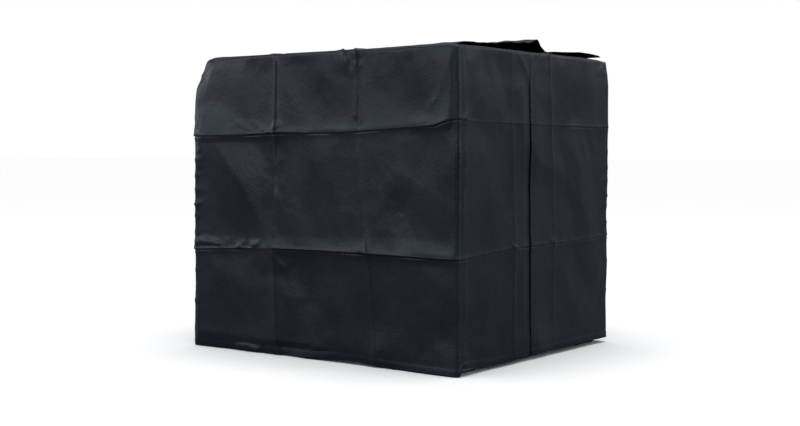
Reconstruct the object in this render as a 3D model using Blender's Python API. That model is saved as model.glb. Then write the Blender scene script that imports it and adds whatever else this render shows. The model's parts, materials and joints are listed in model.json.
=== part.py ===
"""A 1000 litre intermediate bulk container standing under a fitted fabric cover.

The plastic bottle stands on a pallet inside a cage of galvanised tube. It fills through a screw
cap on top and empties through a butterfly valve at the front. The cover is a sewn hood that lifts
off upwards. Its front has a lapped slit whose flap folds back from the valve, and its top has a
flap over the filling cap.

Metres, +Z up. The origin is on the floor under the middle of the pallet. The front, with the
valve, faces -Y, and the 1.2 m sides face -X and +X.
"""

from math import cos, pi, radians, sin

import bmesh
import bpy
from mathutils import Matrix, Vector

# Driving dimensions of the container.
PALLET_WIDTH = 1.000  # along X
PALLET_LENGTH = 1.200  # along Y
CONTAINER_TOP = 1.135  # top of the cage's rim
DECK_TOP = 0.135
DECK_THICKNESS = 0.020
RUNNER_THICKNESS = 0.018
RUNNER_WIDTH = 0.120
FOOT_SIZE = 0.140
GAP = 0.0003  # kept between two pieces that touch

# Cage tubes.
TUBE_RADIUS = 0.008
RIM_RADIUS = 0.010
TUBE_SIDES = 8
WELD_DEPTH = 0.004  # how far two crossing tubes are pressed into each other
CAGE_CORNER_RADIUS = 0.070
CORNER_LEAD = 0.010  # straight tube past each corner's bend, up to the joint with the side
CAGE_ROWS = (0.160, 0.360, 0.550, 0.740, 0.930)  # heights of the level tubes under the rim
FRONT_UPRIGHTS = 8
FRONT_PITCH = 0.118
SIDE_UPRIGHTS = 9
SIDE_PITCH = 0.125

# Bottle.
BOTTLE_WALL = 0.003
BOTTLE_TOP = 1.065
BOTTLE_CORNER_RADIUS = 0.090
BOTTLE_EDGE_RADIUS = 0.045
RECESS_HALF_WIDTH = 0.130
RECESS_TOP = 0.335
RECESS_WALL_Y = -0.435  # back wall of the recess that the valve sits in
NECK_RADIUS = 0.080
NECK_BORE = 0.072
NECK_TOP = 1.092

# Valve line. Distances run forwards from the back wall of the recess.
OUTLET_HEIGHT = 0.225
OUTLET_BORE = 0.025
SPIGOT_LENGTH = 0.028
GASKET_THICKNESS = 0.003
STEM_DISTANCE = 0.062
VALVE_END = 0.150
STEM_RADIUS = 0.005
SLIDING_FIT = 0.0003  # radial clearance of the stem in its bores
LEVER_LENGTH = 0.100

# Cover.
FABRIC = 0.002
COVER_CLEARANCE = 0.012  # between the pallet's sides and the cover
HEM_HEIGHT = 0.012
STRIP = 0.001  # thickness of the hook and loop strips
SLIT_X = -0.060  # free edge of the front flap
SLIT_TOP = 1.060
UNDERLAP_X = -0.020  # free edge of the front panel under the flap
FLAP_FOOT_X = 0.470  # where the flap's fold line meets the hem
INLET_LEFT_X = -0.450
INLET_RIGHT_X = 0.180
INLET_FRONT_Y = -0.565
INLET_HINGE_Y = 0.235
INLET_LIFT = radians(3.2)  # the flap's front edge stands proud by this angle
HATCH = ((-0.160, -0.150), (0.120, 0.150))  # opening in the top panel, over the cap

SMOOTH_ANGLE = radians(35)


def clear_scene():
    for obj in list(bpy.data.objects):
        bpy.data.objects.remove(obj, do_unlink=True)


# ---------------------------------------------------------------- materials


def material(name, colour, roughness, metallic=0.0):
    made = bpy.data.materials.new(name)
    made.use_nodes = True
    shader = made.node_tree.nodes["Principled BSDF"]
    shader.inputs["Base Color"].default_value = (*colour, 1.0)
    shader.inputs["Roughness"].default_value = roughness
    shader.inputs["Metallic"].default_value = metallic
    made.diffuse_color = (*colour, 1.0)
    return made


def make_materials():
    return {
        "fabric": material("cover_fabric", (0.022, 0.025, 0.034), 0.45),
        "strip": material("hook_and_loop", (0.010, 0.010, 0.011), 0.95),
        "steel": material("galvanised_steel", (0.56, 0.58, 0.60), 0.42, 0.9),
        "screw": material("zinc_screw", (0.62, 0.62, 0.60), 0.30, 1.0),
        "deck": material("pallet_deck_steel", (0.50, 0.52, 0.54), 0.50, 0.8),
        "foot": material("pallet_foot_plastic", (0.035, 0.036, 0.038), 0.60),
        "bottle": material("bottle_polyethylene", (0.83, 0.85, 0.82), 0.38),
        "red": material("red_polypropylene", (0.55, 0.035, 0.025), 0.40),
        "black": material("black_polypropylene", (0.020, 0.020, 0.022), 0.42),
        "seal": material("seal_rubber", (0.030, 0.030, 0.030), 0.75),
        "plate": material("label_plate", (0.70, 0.72, 0.73), 0.35, 0.6),
    }


# ---------------------------------------------------------------- modelling helpers


def link(name, bm, mat, smooth=False, parent=None, location=(0, 0, 0), rotation=(0, 0, 0)):
    """Puts a bmesh into the scene as one object with its material."""
    bmesh.ops.recalc_face_normals(bm, faces=bm.faces)
    mesh = bpy.data.meshes.new(name)
    bm.to_mesh(mesh)
    bm.free()
    if smooth:
        mesh.shade_smooth()
        mesh.set_sharp_from_angle(angle=SMOOTH_ANGLE)
    obj = bpy.data.objects.new(name, mesh)
    if mat:
        mesh.materials.append(mat)
    bpy.context.scene.collection.objects.link(obj)
    obj.parent = parent
    obj.location = location
    obj.rotation_euler = rotation
    return obj


def empty(name, location, rotation=(0, 0, 0), parent=None):
    """A frame to hang pieces on, with its origin on a joint's axis."""
    obj = bpy.data.objects.new(name, None)
    bpy.context.scene.collection.objects.link(obj)
    obj.parent = parent
    obj.location = location
    obj.rotation_euler = rotation
    return obj


def helper(obj):
    """Marks an object that only cuts or joins others."""
    obj.hide_render = True
    obj.display_type = "WIRE"
    return obj


def boolean(target, other, operation):
    modifier = target.modifiers.new(operation.lower() + "_" + other.name, "BOOLEAN")
    modifier.operation = operation
    modifier.solver = "EXACT"
    modifier.object = helper(other)


def cut(target, *cutters):
    for cutter in cutters:
        boolean(target, cutter, "DIFFERENCE")


def unite(target, *others):
    for other in others:
        boolean(target, other, "UNION")


def block_mesh(low, high, bevel=0.0, segments=1):
    bm = bmesh.new()
    low, high = Vector(low), Vector(high)
    size = high - low
    frame = Matrix.Translation((low + high) / 2) @ Matrix.Diagonal((*size, 1.0))
    bmesh.ops.create_cube(bm, size=1.0, matrix=frame)
    if bevel:
        bmesh.ops.bevel(
            bm, geom=list(bm.edges), offset=bevel, segments=segments, profile=0.5, affect="EDGES"
        )
    return bm


def block(name, low, high, mat=None, bevel=0.0, **placing):
    return link(name, block_mesh(low, high, bevel), mat, **placing)


def prism(name, outline, plane, low, high, mat=None, **placing):
    """Extrudes a flat outline. plane "XZ" runs it along Y, "XY" along Z and "YZ" along X."""
    spread = {
        "XZ": lambda a, b, c: (a, c, b),
        "XY": lambda a, b, c: (a, b, c),
        "YZ": lambda a, b, c: (c, a, b),
    }[plane]
    bm = bmesh.new()
    face = bm.faces.new([bm.verts.new(spread(a, b, low)) for a, b in outline])
    grown = bmesh.ops.extrude_face_region(bm, geom=[face])["geom"]
    travel = Vector(spread(0, 0, high - low))
    bmesh.ops.translate(bm, verts=[v for v in grown if isinstance(v, bmesh.types.BMVert)], vec=travel)
    return link(name, bm, mat, **placing)


def turned_mesh(profile, sides):
    """Turns a closed (radius, height) profile about local Z. A point at radius 0 is a pole."""
    bm = bmesh.new()
    rings = []
    for radius, height in profile:
        count = sides if radius > 0 else 1
        angles = [2 * pi * k / sides for k in range(count)]
        rings.append([bm.verts.new((radius * cos(a), radius * sin(a), height)) for a in angles])
    for first, second in zip(rings, rings[1:] + rings[:1]):
        if len(first) == 1 and len(second) == 1:
            continue
        for k in range(sides):
            corners = [
                first[k % len(first)],
                first[(k + 1) % len(first)],
                second[(k + 1) % len(second)],
                second[k % len(second)],
            ]
            bm.faces.new(list(dict.fromkeys(corners)))
    return bm


def turned(name, profile, sides, mat=None, **placing):
    return link(name, turned_mesh(profile, sides), mat, smooth=True, **placing)


def rod_profile(radius, low, high):
    return [(0, low), (radius, low), (radius, high), (0, high)]


def ring_profile(inner, outer, low, high):
    return [(inner, low), (outer, low), (outer, high), (inner, high)]


def add_tube(bm, path, radius):
    """Sweeps a tube of TUBE_SIDES sides along a path, with flats facing along and across it."""
    rings = []
    turn = pi / TUBE_SIDES
    for k, point in enumerate(path):
        before, after = path[max(k - 1, 0)], path[min(k + 1, len(path) - 1)]
        forward = (Vector(after) - Vector(before)).normalized()
        side = forward.cross(Vector((0, 0, 1)) if abs(forward.z) < 0.5 else Vector((0, 1, 0)))
        side.normalize()
        up = side.cross(forward)
        angles = [turn + 2 * pi * n / TUBE_SIDES for n in range(TUBE_SIDES)]
        reach = radius / cos(turn)
        offsets = [side * reach * cos(a) + up * reach * sin(a) for a in angles]
        rings.append([bm.verts.new(Vector(point) + offset) for offset in offsets])
    for first, second in zip(rings, rings[1:]):
        for n in range(TUBE_SIDES):
            after = (n + 1) % TUBE_SIDES
            bm.faces.new((first[n], first[after], second[after], second[n]))
    bm.faces.new(rings[0][::-1])
    bm.faces.new(rings[-1])


# ---------------------------------------------------------------- pallet


def make_pallet(mats):
    half_x, half_y = PALLET_WIDTH / 2, PALLET_LENGTH / 2
    deck_low = DECK_TOP - DECK_THICKNESS
    deck = block(
        "pallet_deck", (-half_x, -half_y, deck_low), (half_x, half_y, DECK_TOP), mats["deck"], 0.003
    )
    columns = {"left": -half_x + FOOT_SIZE / 2, "middle": 0.0, "right": half_x - FOOT_SIZE / 2}
    rows = {"front": -half_y + FOOT_SIZE / 2, "centre": 0.0, "rear": half_y - FOOT_SIZE / 2}
    for column, x in columns.items():
        make_runner("pallet_runner_" + column, x, half_y, mats["deck"])
        for row, y in rows.items():
            make_foot(f"pallet_foot_{row}_{column}", x, y, deck_low - GAP, mats["foot"])
    return deck


def make_runner(name, x, half_length, mat):
    """A skid along Y with its ends turned up by a chamfer."""
    chamfer = 0.012
    outline = [
        (-half_length + chamfer, 0),
        (half_length - chamfer, 0),
        (half_length, chamfer),
        (half_length, RUNNER_THICKNESS),
        (-half_length, RUNNER_THICKNESS),
        (-half_length, chamfer),
    ]
    return prism(name, outline, "YZ", -RUNNER_WIDTH / 2, RUNNER_WIDTH / 2, mat, location=(x, 0, 0))


def make_foot(name, x, y, top, mat):
    """A moulded block that narrows a little towards the runner."""
    foot_low = RUNNER_THICKNESS + GAP
    bm = block_mesh((-FOOT_SIZE / 2, -FOOT_SIZE / 2, 0), (FOOT_SIZE / 2, FOOT_SIZE / 2, top - foot_low))
    draft = 0.90
    for vert in bm.verts:
        if vert.co.z < 0.001:
            vert.co.x *= draft
            vert.co.y *= draft
    uprights = [e for e in bm.edges if abs(e.verts[0].co.z - e.verts[1].co.z) > 0.01]
    bmesh.ops.bevel(bm, geom=uprights, offset=0.018, segments=3, profile=0.5, affect="EDGES")
    return link(name, bm, mat, smooth=True, location=(x, y, foot_low))


# ---------------------------------------------------------------- cage


def cage_half_sizes():
    """Half the width and length between the centre lines of the level tubes."""
    return PALLET_WIDTH / 2 - TUBE_RADIUS, PALLET_LENGTH / 2 - TUBE_RADIUS


def level_tubes():
    """(height, radius, inset) of each level tube. The rim is thicker, so it sits further in."""
    rows = [(height, TUBE_RADIUS, 0.0) for height in CAGE_ROWS]
    return rows + [(CONTAINER_TOP - RIM_RADIUS, RIM_RADIUS, RIM_RADIUS - TUBE_RADIUS)]


def evenly(count, pitch):
    return [(k - (count - 1) / 2) * pitch for k in range(count)]


def upright_run(bottom):
    return bottom, CONTAINER_TOP - 0.004


def make_end_grid(name, side, valve_gap, mat):
    """The front (side -1) or rear (side 1) of the cage, with the cage's rounded corners."""
    half_x, half_y = cage_half_sizes()
    corner_steps = 5
    level = bmesh.new()
    for height, radius, inset in level_tubes():
        x, y = half_x - inset, half_y - inset
        centre_x, centre_y = x - CAGE_CORNER_RADIUS, y - CAGE_CORNER_RADIUS
        quarter = [k * pi / 2 / corner_steps for k in range(corner_steps + 1)]
        arc = [
            (centre_x + CAGE_CORNER_RADIUS * cos(a), centre_y + CAGE_CORNER_RADIUS * sin(a))
            for a in quarter
        ]
        arc = [(x, centre_y - CORNER_LEAD), *arc]
        path = [(px, side * py, height) for px, py in arc]
        path += [(-px, side * py, height) for px, py in reversed(arc)]
        add_tube(level, path, radius)
    grid = link(name, level, mat, smooth=True)
    uprights = bmesh.new()
    y = side * (half_y - 2 * TUBE_RADIUS + WELD_DEPTH)
    for x in evenly(FRONT_UPRIGHTS, FRONT_PITCH):
        over_valve = valve_gap and abs(x) < RECESS_HALF_WIDTH
        low, high = upright_run(CAGE_ROWS[1] - TUBE_RADIUS if over_valve else CAGE_ROWS[0] - 0.010)
        add_tube(uprights, [(x, y, low), (x, y, high)], TUBE_RADIUS)
    unite(grid, link(name + "_uprights", uprights, None))
    return grid


def make_side_grid(name, side, mat):
    """The left (side -1) or right (side 1) of the cage, between the rounded corners."""
    half_x, half_y = cage_half_sizes()
    level = bmesh.new()
    for height, radius, inset in level_tubes():
        x = side * (half_x - inset)
        reach = half_y - inset - CAGE_CORNER_RADIUS - CORNER_LEAD - GAP
        add_tube(level, [(x, -reach, height), (x, reach, height)], radius)
    grid = link(name, level, mat, smooth=True)
    uprights = bmesh.new()
    x = side * (half_x - 2 * TUBE_RADIUS + WELD_DEPTH)
    low, high = upright_run(CAGE_ROWS[0] - 0.010)
    for y in evenly(SIDE_UPRIGHTS, SIDE_PITCH):
        add_tube(uprights, [(x, y, low), (x, y, high)], TUBE_RADIUS)
    unite(grid, link(name + "_uprights", uprights, None))
    return grid


def make_screw(name, mat, head_radius, head_height, shank_radius, shank_length, **placing):
    """A hexagon head screw. Its origin is under the head, and the shank runs along local +Z."""
    sides = 12
    shank = turned_mesh(rod_profile(shank_radius, -head_height / 2, shank_length), sides)
    screw = link(name, turned_mesh(rod_profile(head_radius, -head_height, 0), 6), mat, **placing)
    unite(screw, link(name + "_shank", shank, None, **placing))
    return screw


def make_top_bar(name, y, grids, mats):
    """A bar across the bottle. Its flattened ends lie under the rim, each held by a screw."""
    bar_radius = 0.011
    tab_thickness = 0.005
    tab_top = CONTAINER_TOP - 2 * RIM_RADIUS - GAP
    tab_low = tab_top - tab_thickness
    half_x = cage_half_sizes()[0] - (RIM_RADIUS - TUBE_RADIUS)
    tube = bmesh.new()
    tube_end = half_x - 0.040
    height = tab_top - bar_radius
    add_tube(tube, [(-tube_end, y, height), (tube_end, y, height)], bar_radius)
    bar = link(name, tube, mats["steel"], smooth=True)
    for side, word in ((-1, "left"), (1, "right")):
        near, far = sorted((side * (tube_end - 0.02), side * (half_x + 0.004)))
        tab = block(f"{name}_tab_{word}", (near, y - 0.014, tab_low), (far, y + 0.014, tab_top))
        unite(bar, tab)
        screw_radius = 0.003
        head_top = (side * half_x, y, tab_low - GAP)
        hole = turned_mesh(rod_profile(screw_radius + GAP, -0.010, 0.018), 12)
        drill = link(f"{name}_hole_{word}", hole, None, location=head_top)
        cut(bar, drill)
        cut(grids[word], drill)
        make_screw(
            f"{name}_screw_{word}", mats["screw"], 0.007, 0.004, screw_radius, 0.015, location=head_top
        )
    return bar


def make_clamp(name, side, y, deck, mats):
    """A bent strip that hooks over the lowest tube and screws to the edge of the deck."""
    strip = 0.003
    inner = PALLET_WIDTH / 2 + GAP
    tube_top = CAGE_ROWS[0] + TUBE_RADIUS + GAP
    screw_height = DECK_TOP - DECK_THICKNESS / 2
    outline = [
        (inner, screw_height - 0.008),
        (inner + strip, screw_height - 0.008),
        (inner + strip, tube_top + strip),
        (inner - 0.013, tube_top + strip),
        (inner - 0.013, tube_top),
        (inner, tube_top),
    ]
    outline = [(side * x, z) for x, z in outline]
    clamp = prism(name, outline, "XZ", y - 0.020, y + 0.020, mats["steel"])
    inwards = (0, -side * pi / 2, 0)
    under_head = (side * (inner + strip + GAP), y, screw_height)
    hole = turned_mesh(rod_profile(0.0025 + GAP, -0.004, 0.024), 12)
    drill = link(name + "_hole", hole, None, location=under_head, rotation=inwards)
    cut(clamp, drill)
    cut(deck, drill)
    make_screw(
        name + "_screw", mats["screw"], 0.006, 0.004, 0.0025, 0.020, location=under_head, rotation=inwards
    )
    return clamp


def make_label_plates(mats):
    """Blank sheet plates on the outside of the cage, front and left."""
    thickness = 0.001
    front_y = -PALLET_LENGTH / 2 - GAP
    left_x = -PALLET_WIDTH / 2 - GAP
    low, high = CAGE_ROWS[2] - 0.005, CAGE_ROWS[4] - 0.030
    block("label_plate_front", (-0.22, front_y - thickness, low), (0.22, front_y, high), mats["plate"])
    block("label_plate_left", (left_x - thickness, -0.33, low), (left_x, 0.05, high), mats["plate"])


def make_cage(deck, mats):
    steel = mats["steel"]
    make_end_grid("cage_front_grid", -1, True, steel)
    make_end_grid("cage_rear_grid", 1, False, steel)
    grids = {
        "left": make_side_grid("cage_left_grid", -1, steel),
        "right": make_side_grid("cage_right_grid", 1, steel),
    }
    between_uprights = 2.5 * SIDE_PITCH
    make_top_bar("top_bar_front", -between_uprights, grids, mats)
    make_top_bar("top_bar_rear", between_uprights, grids, mats)
    for side, word in ((-1, "left"), (1, "right")):
        for y, end in ((-between_uprights, "front"), (between_uprights, "rear")):
            make_clamp(f"cage_clamp_{end}_{word}", side, y, deck, mats)
    make_label_plates(mats)


# ---------------------------------------------------------------- bottle


def rounded_block(name, low, high, corner, edge, mat=None):
    """A block with rounded uprights, then rounded top and bottom edges."""
    bm = block_mesh(low, high)
    uprights = [e for e in bm.edges if abs(e.verts[0].co.z - e.verts[1].co.z) > 0.01]
    bmesh.ops.bevel(bm, geom=uprights, offset=corner, segments=6, profile=0.5, affect="EDGES")
    level = [
        e
        for e in bm.edges
        if abs(e.verts[0].co.z - e.verts[1].co.z) < 1e-6 and len(e.link_faces) == 2
    ]
    bmesh.ops.bevel(bm, geom=level, offset=edge, segments=4, profile=0.5, affect="EDGES")
    return link(name, bm, mat, smooth=True)


def make_bottle(mats):
    """A blown shell: the outer block less its recess, then hollowed by the same shape, smaller."""
    cage_x, cage_y = cage_half_sizes()
    inside = 3 * TUBE_RADIUS - WELD_DEPTH + 0.002
    half_x, half_y = cage_x - inside, cage_y - inside
    low = DECK_TOP + GAP
    wall = BOTTLE_WALL
    corner, edge = BOTTLE_CORNER_RADIUS, BOTTLE_EDGE_RADIUS
    outer_low, outer_high = (-half_x, -half_y, low), (half_x, half_y, BOTTLE_TOP)
    bottle = rounded_block("bottle", outer_low, outer_high, corner, edge, mats["bottle"])
    front = -half_y - 0.05
    recess_low, recess_high = low - 0.05, (RECESS_HALF_WIDTH, RECESS_WALL_Y, RECESS_TOP)
    cut(bottle, block("bottle_recess", (-RECESS_HALF_WIDTH, front, recess_low), recess_high))
    across = (radians(90), 0, 0)
    outlet = (0, RECESS_WALL_Y, OUTLET_HEIGHT)
    neck = turned("bottle_neck", rod_profile(NECK_RADIUS, BOTTLE_TOP - 0.010, NECK_TOP), 32)
    spigot = turned(
        "bottle_spigot", rod_profile(0.0363, -0.001, SPIGOT_LENGTH), 24, location=outlet, rotation=across
    )
    unite(bottle, neck, spigot)
    inner_low = (-half_x + wall, -half_y + wall, low + wall)
    inner_high = (half_x - wall, half_y - wall, BOTTLE_TOP - wall)
    hollow = rounded_block("bottle_hollow", inner_low, inner_high, corner - wall, edge - wall)
    kept = block(
        "bottle_recess_wall",
        (-RECESS_HALF_WIDTH - wall, front, recess_low),
        (RECESS_HALF_WIDTH + wall, RECESS_WALL_Y + wall, RECESS_TOP + wall),
    )
    cut(hollow, kept)
    bore_profile = rod_profile(NECK_BORE, BOTTLE_TOP - 0.060, NECK_TOP + 0.020)
    neck_bore = turned("bottle_neck_bore", bore_profile, 32)
    outlet_bore = turned(
        "bottle_outlet_bore", rod_profile(OUTLET_BORE, -0.020, SPIGOT_LENGTH + 0.010), 24,
        location=outlet, rotation=across,
    )  # fmt: skip
    cut(bottle, hollow, neck_bore, outlet_bore)
    return bottle


def make_fill_cap(mats):
    """A screw cap over the neck, with a vent plug in its middle."""
    axis = empty("fill_cap_axis", (0, 0, 0))
    sides = 48
    under = NECK_TOP + GASKET_THICKNESS + 2 * GAP
    top = under + 0.011
    skirt_low = BOTTLE_TOP + 0.004
    outer, bore, plug_hole = 0.096, NECK_RADIUS + 0.0012, 0.0305
    profile = [
        (plug_hole, under),
        (bore, under),
        (bore, skirt_low),
        (outer, skirt_low),
        (outer, top - 0.006),
        (outer - 0.006, top),
        (plug_hole, top),
    ]
    bm = turned_mesh(profile, sides)
    notch_every = 4
    for vert in bm.verts:
        spoke = round(vert.co.to_2d().angle_signed(Vector((1, 0)), 0) / (2 * pi / sides))
        if vert.co.to_2d().length > outer - 0.001 and spoke % notch_every == 0:
            vert.co.x *= 0.965
            vert.co.y *= 0.965
    link("fill_cap", bm, mats["red"], smooth=True, parent=axis)
    gasket = ring_profile(NECK_BORE + 0.001, NECK_RADIUS - 0.001, NECK_TOP + GAP, under - GAP)
    turned("fill_cap_gasket", gasket, 32, mats["seal"], parent=axis)
    seal_top = top + GAP + 0.002
    seal = ring_profile(plug_hole + 0.001, 0.036, top + GAP, seal_top)
    turned("vent_plug_seal", seal, 24, mats["seal"], parent=axis)
    make_vent_plug(seal_top + GAP, plug_hole - 0.0005, axis, mats["black"])


def make_vent_plug(flange_low, radius, axis, mat):
    """A bung with a cross bar across its hollow head, to turn it by."""
    flange_high = flange_low + 0.006
    profile = [
        (0, flange_low - 0.020),
        (radius, flange_low - 0.020),
        (radius, flange_low),
        (0.039, flange_low),
        (0.039, flange_high - 0.001),
        (0.038, flange_high),
        (0.026, flange_high),
        (0.026, flange_low - 0.008),
        (0, flange_low - 0.008),
    ]
    plug = turned("vent_plug", profile, 24, mat, parent=axis)
    bar = block("vent_plug_bar", (-0.028, -0.004, flange_low - 0.010), (0.028, 0.004, flange_high - 0.001))
    unite(plug, bar)
    return plug


# ---------------------------------------------------------------- valve


def make_valve(mats):
    """The line of the outlet runs along local +Z, from the recess's back wall towards the front."""
    across = (radians(90), 0, 0)
    line = empty("valve_line", (0, RECESS_WALL_Y, OUTLET_HEIGHT), across)
    flange_start = SPIGOT_LENGTH + GASKET_THICKNESS + 2 * GAP
    flange_end = flange_start + 0.006
    gasket = ring_profile(OUTLET_BORE + 0.0005, 0.032, SPIGOT_LENGTH + GAP, flange_start - GAP)
    turned("valve_gasket", gasket, 24, mats["seal"], parent=line)
    make_coupling_nut(flange_end, line, mats["black"])
    make_valve_body(flange_start, flange_end, line, mats["bottle"])
    make_outlet_cap(mats)
    make_handle_group(mats)


def make_coupling_nut(flange_end, line, mat):
    """The ring nut that pulls the valve's flange onto the bottle's spigot."""
    sides = 40
    bore, shoulder, outer = 0.0368, 0.0315, 0.047
    profile = [
        (bore, 0.006),
        (outer, 0.006),
        (outer, flange_end + 0.007),
        (shoulder, flange_end + 0.007),
        (shoulder, flange_end + GAP),
        (bore, flange_end + GAP),
    ]
    bm = turned_mesh(profile, sides)
    for vert in bm.verts:
        spoke = round(vert.co.to_2d().angle_signed(Vector((1, 0)), 0) / (2 * pi / sides))
        if vert.co.to_2d().length > outer - 0.001 and spoke % 5 == 0:
            vert.co.x *= 1.06
            vert.co.y *= 1.06
    return link("valve_nut", bm, mat, smooth=True, parent=line)


def make_valve_body(flange_start, flange_end, line, mat):
    """A flanged pipe with a swollen middle for the disc and a boss above it for the stem."""
    pipe, swell = 0.031, 0.036
    middle = STEM_DISTANCE
    profile = [
        (OUTLET_BORE, flange_start),
        (0.0363, flange_start),
        (0.0363, flange_end),
        (pipe, flange_end),
        (pipe, middle - 0.009),
        (swell, middle - 0.006),
        (swell, middle + 0.016),
        (pipe, middle + 0.024),
        (pipe, VALVE_END - 0.040),
        (0.034, VALVE_END - 0.038),
        (0.034, VALVE_END - 0.032),
        (0.029, VALVE_END - 0.030),
        (0.029, VALVE_END),
        (OUTLET_BORE, VALVE_END),
    ]
    body = turned("valve_body", profile, 24, mat, parent=line)
    stem_axis = (0, RECESS_WALL_Y - STEM_DISTANCE, OUTLET_HEIGHT)
    unite(body, turned("valve_boss", rod_profile(0.013, 0.030, 0.052), 16, location=stem_axis))
    bore = rod_profile(STEM_RADIUS + SLIDING_FIT, -0.0315, 0.060)
    cut(body, turned("valve_stem_bore", bore, 16, location=stem_axis))
    return body


def make_outlet_cap(mats):
    """The dust cap on the end of the outlet, with its flat seal."""
    axis = empty("outlet_cap_axis", (0, RECESS_WALL_Y, OUTLET_HEIGHT), (radians(90), 0, 0))
    sides = 36
    seal_high = VALVE_END + GAP + 0.002
    floor = seal_high + GAP
    outer, bore = 0.037, 0.0295
    skirt_low = VALVE_END - 0.027
    profile = [
        (0, floor),
        (bore, floor),
        (bore, skirt_low),
        (outer, skirt_low),
        (outer, floor + 0.004),
        (outer - 0.003, floor + 0.006),
        (0, floor + 0.006),
    ]
    bm = turned_mesh(profile, sides)
    for vert in bm.verts:
        spoke = round(vert.co.to_2d().angle_signed(Vector((1, 0)), 0) / (2 * pi / sides))
        if vert.co.to_2d().length > outer - 0.001 and spoke % 3 == 0:
            vert.co.x *= 0.95
            vert.co.y *= 0.95
    link("outlet_cap", bm, mats["red"], smooth=True, parent=axis)
    seal = ring_profile(OUTLET_BORE + 0.0005, 0.0285, VALVE_END + GAP, seal_high)
    turned("outlet_cap_seal", seal, 24, mats["seal"], parent=axis)


def make_handle_group(mats):
    """Disc, stem, lever and screw turn together about the upright stem. The lever is at shut."""
    axis = empty("valve_handle_axis", (0, RECESS_WALL_Y - STEM_DISTANCE, OUTLET_HEIGHT))
    across = (radians(90), 0, 0)
    disc = turned(
        "valve_disc", rod_profile(OUTLET_BORE - 0.001, -0.002, 0.002), 24, mats["black"],
        parent=axis, rotation=across,
    )  # fmt: skip
    hub = turned("valve_disc_hub", rod_profile(0.008, -0.020, 0.020), 16, parent=axis)
    unite(disc, hub)
    disc_bore = rod_profile(STEM_RADIUS + GAP, -0.030, 0.030)
    cut(disc, turned("valve_disc_bore", disc_bore, 16, parent=axis))
    stem_top = 0.062
    turned("valve_stem", rod_profile(STEM_RADIUS, -0.028, stem_top), 16, mats["screw"], parent=axis)
    lever_low, lever_high = 0.0525, 0.0665
    make_lever(axis, lever_low, lever_high, mats["red"])
    make_screw(
        "handle_screw", mats["screw"], 0.008, 0.004, 0.0045, lever_high - stem_top - 3 * GAP,
        parent=axis, location=(0, 0, lever_high + GAP), rotation=(pi, 0, 0),
    )  # fmt: skip


def make_lever(axis, low, high, mat):
    """A hub with an arm that ends in a rounded grip."""
    arm_low, arm_high = low + 0.003, low + 0.011
    half_root, half_grip = 0.009, 0.013
    grip_centre = LEVER_LENGTH - half_grip
    steps = 8
    tip = [
        (grip_centre + half_grip * cos(a), half_grip * sin(a))
        for a in [-pi / 2 + pi * k / steps for k in range(steps + 1)]
    ]
    outline = [(0.004, -half_root), (grip_centre - 0.045, -half_root), *tip]
    outline += [(grip_centre - 0.045, half_root), (0.004, half_root)]
    lever = turned("valve_handle", rod_profile(0.015, low, high), 24, mat, parent=axis)
    arm = prism("valve_handle_arm", outline, "XY", arm_low, arm_high, parent=axis)
    unite(lever, arm)
    lever_bore = rod_profile(STEM_RADIUS + GAP, low - 0.010, high + 0.010)
    cut(lever, turned("valve_handle_bore", lever_bore, 16, parent=axis))
    return lever


# ---------------------------------------------------------------- cover


def cover_inner_half_sizes():
    """Half the width inside, and the distances inside to the front and to the rear panel.

    The rear panel hangs further out by the flap's build, so the whole stays centred.
    """
    front = PALLET_LENGTH / 2 + COVER_CLEARANCE
    return PALLET_WIDTH / 2 + COVER_CLEARANCE, front, front + 2 * STRIP + 3 * GAP + FABRIC


def fold_line_x(z):
    """X of the front flap's fold line at a height."""
    share = (SLIT_TOP - z) / (SLIT_TOP - HEM_HEIGHT)
    return SLIT_X + share * (FLAP_FOOT_X - SLIT_X)


def fold_line_z(x):
    share = (x - SLIT_X) / (FLAP_FOOT_X - SLIT_X)
    return SLIT_TOP - share * (SLIT_TOP - HEM_HEIGHT)


def make_cover(mats):
    frame = empty("cover_frame", (0, 0, 0))
    half_x, front_y, rear_y = cover_inner_half_sizes()
    out_x, out_front, out_rear = half_x + FABRIC, front_y + FABRIC, rear_y + FABRIC
    top_low = CONTAINER_TOP + GAP
    wall_top = top_low - GAP
    fabric = mats["fabric"]
    top_corner = (out_x, out_rear, top_low + FABRIC)
    top = block("cover_top_panel", (-out_x, -out_front, top_low), top_corner, fabric, parent=frame)
    (hatch_x0, hatch_y0), (hatch_x1, hatch_y1) = HATCH
    hatch_low, hatch_high = top_low - 0.01, top_low + 0.01
    cut(top, block("cover_hatch", (hatch_x0, hatch_y0, hatch_low), (hatch_x1, hatch_y1, hatch_high)))
    for side, word in ((-1, "left"), (1, "right")):
        near, far = sorted((side * half_x, side * out_x))
        low, high = (near, -out_front, HEM_HEIGHT), (far, out_rear, wall_top)
        block(f"cover_{word}_panel", low, high, fabric, parent=frame)
    inner_x = half_x - GAP
    low, high = (-inner_x, rear_y, HEM_HEIGHT), (inner_x, out_rear, wall_top)
    block("cover_rear_panel", low, high, fabric, parent=frame)
    make_front_panel(inner_x, wall_top, frame, mats)
    make_front_flap(frame, mats)
    make_inlet_flap(top_low + FABRIC, frame, mats)


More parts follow.
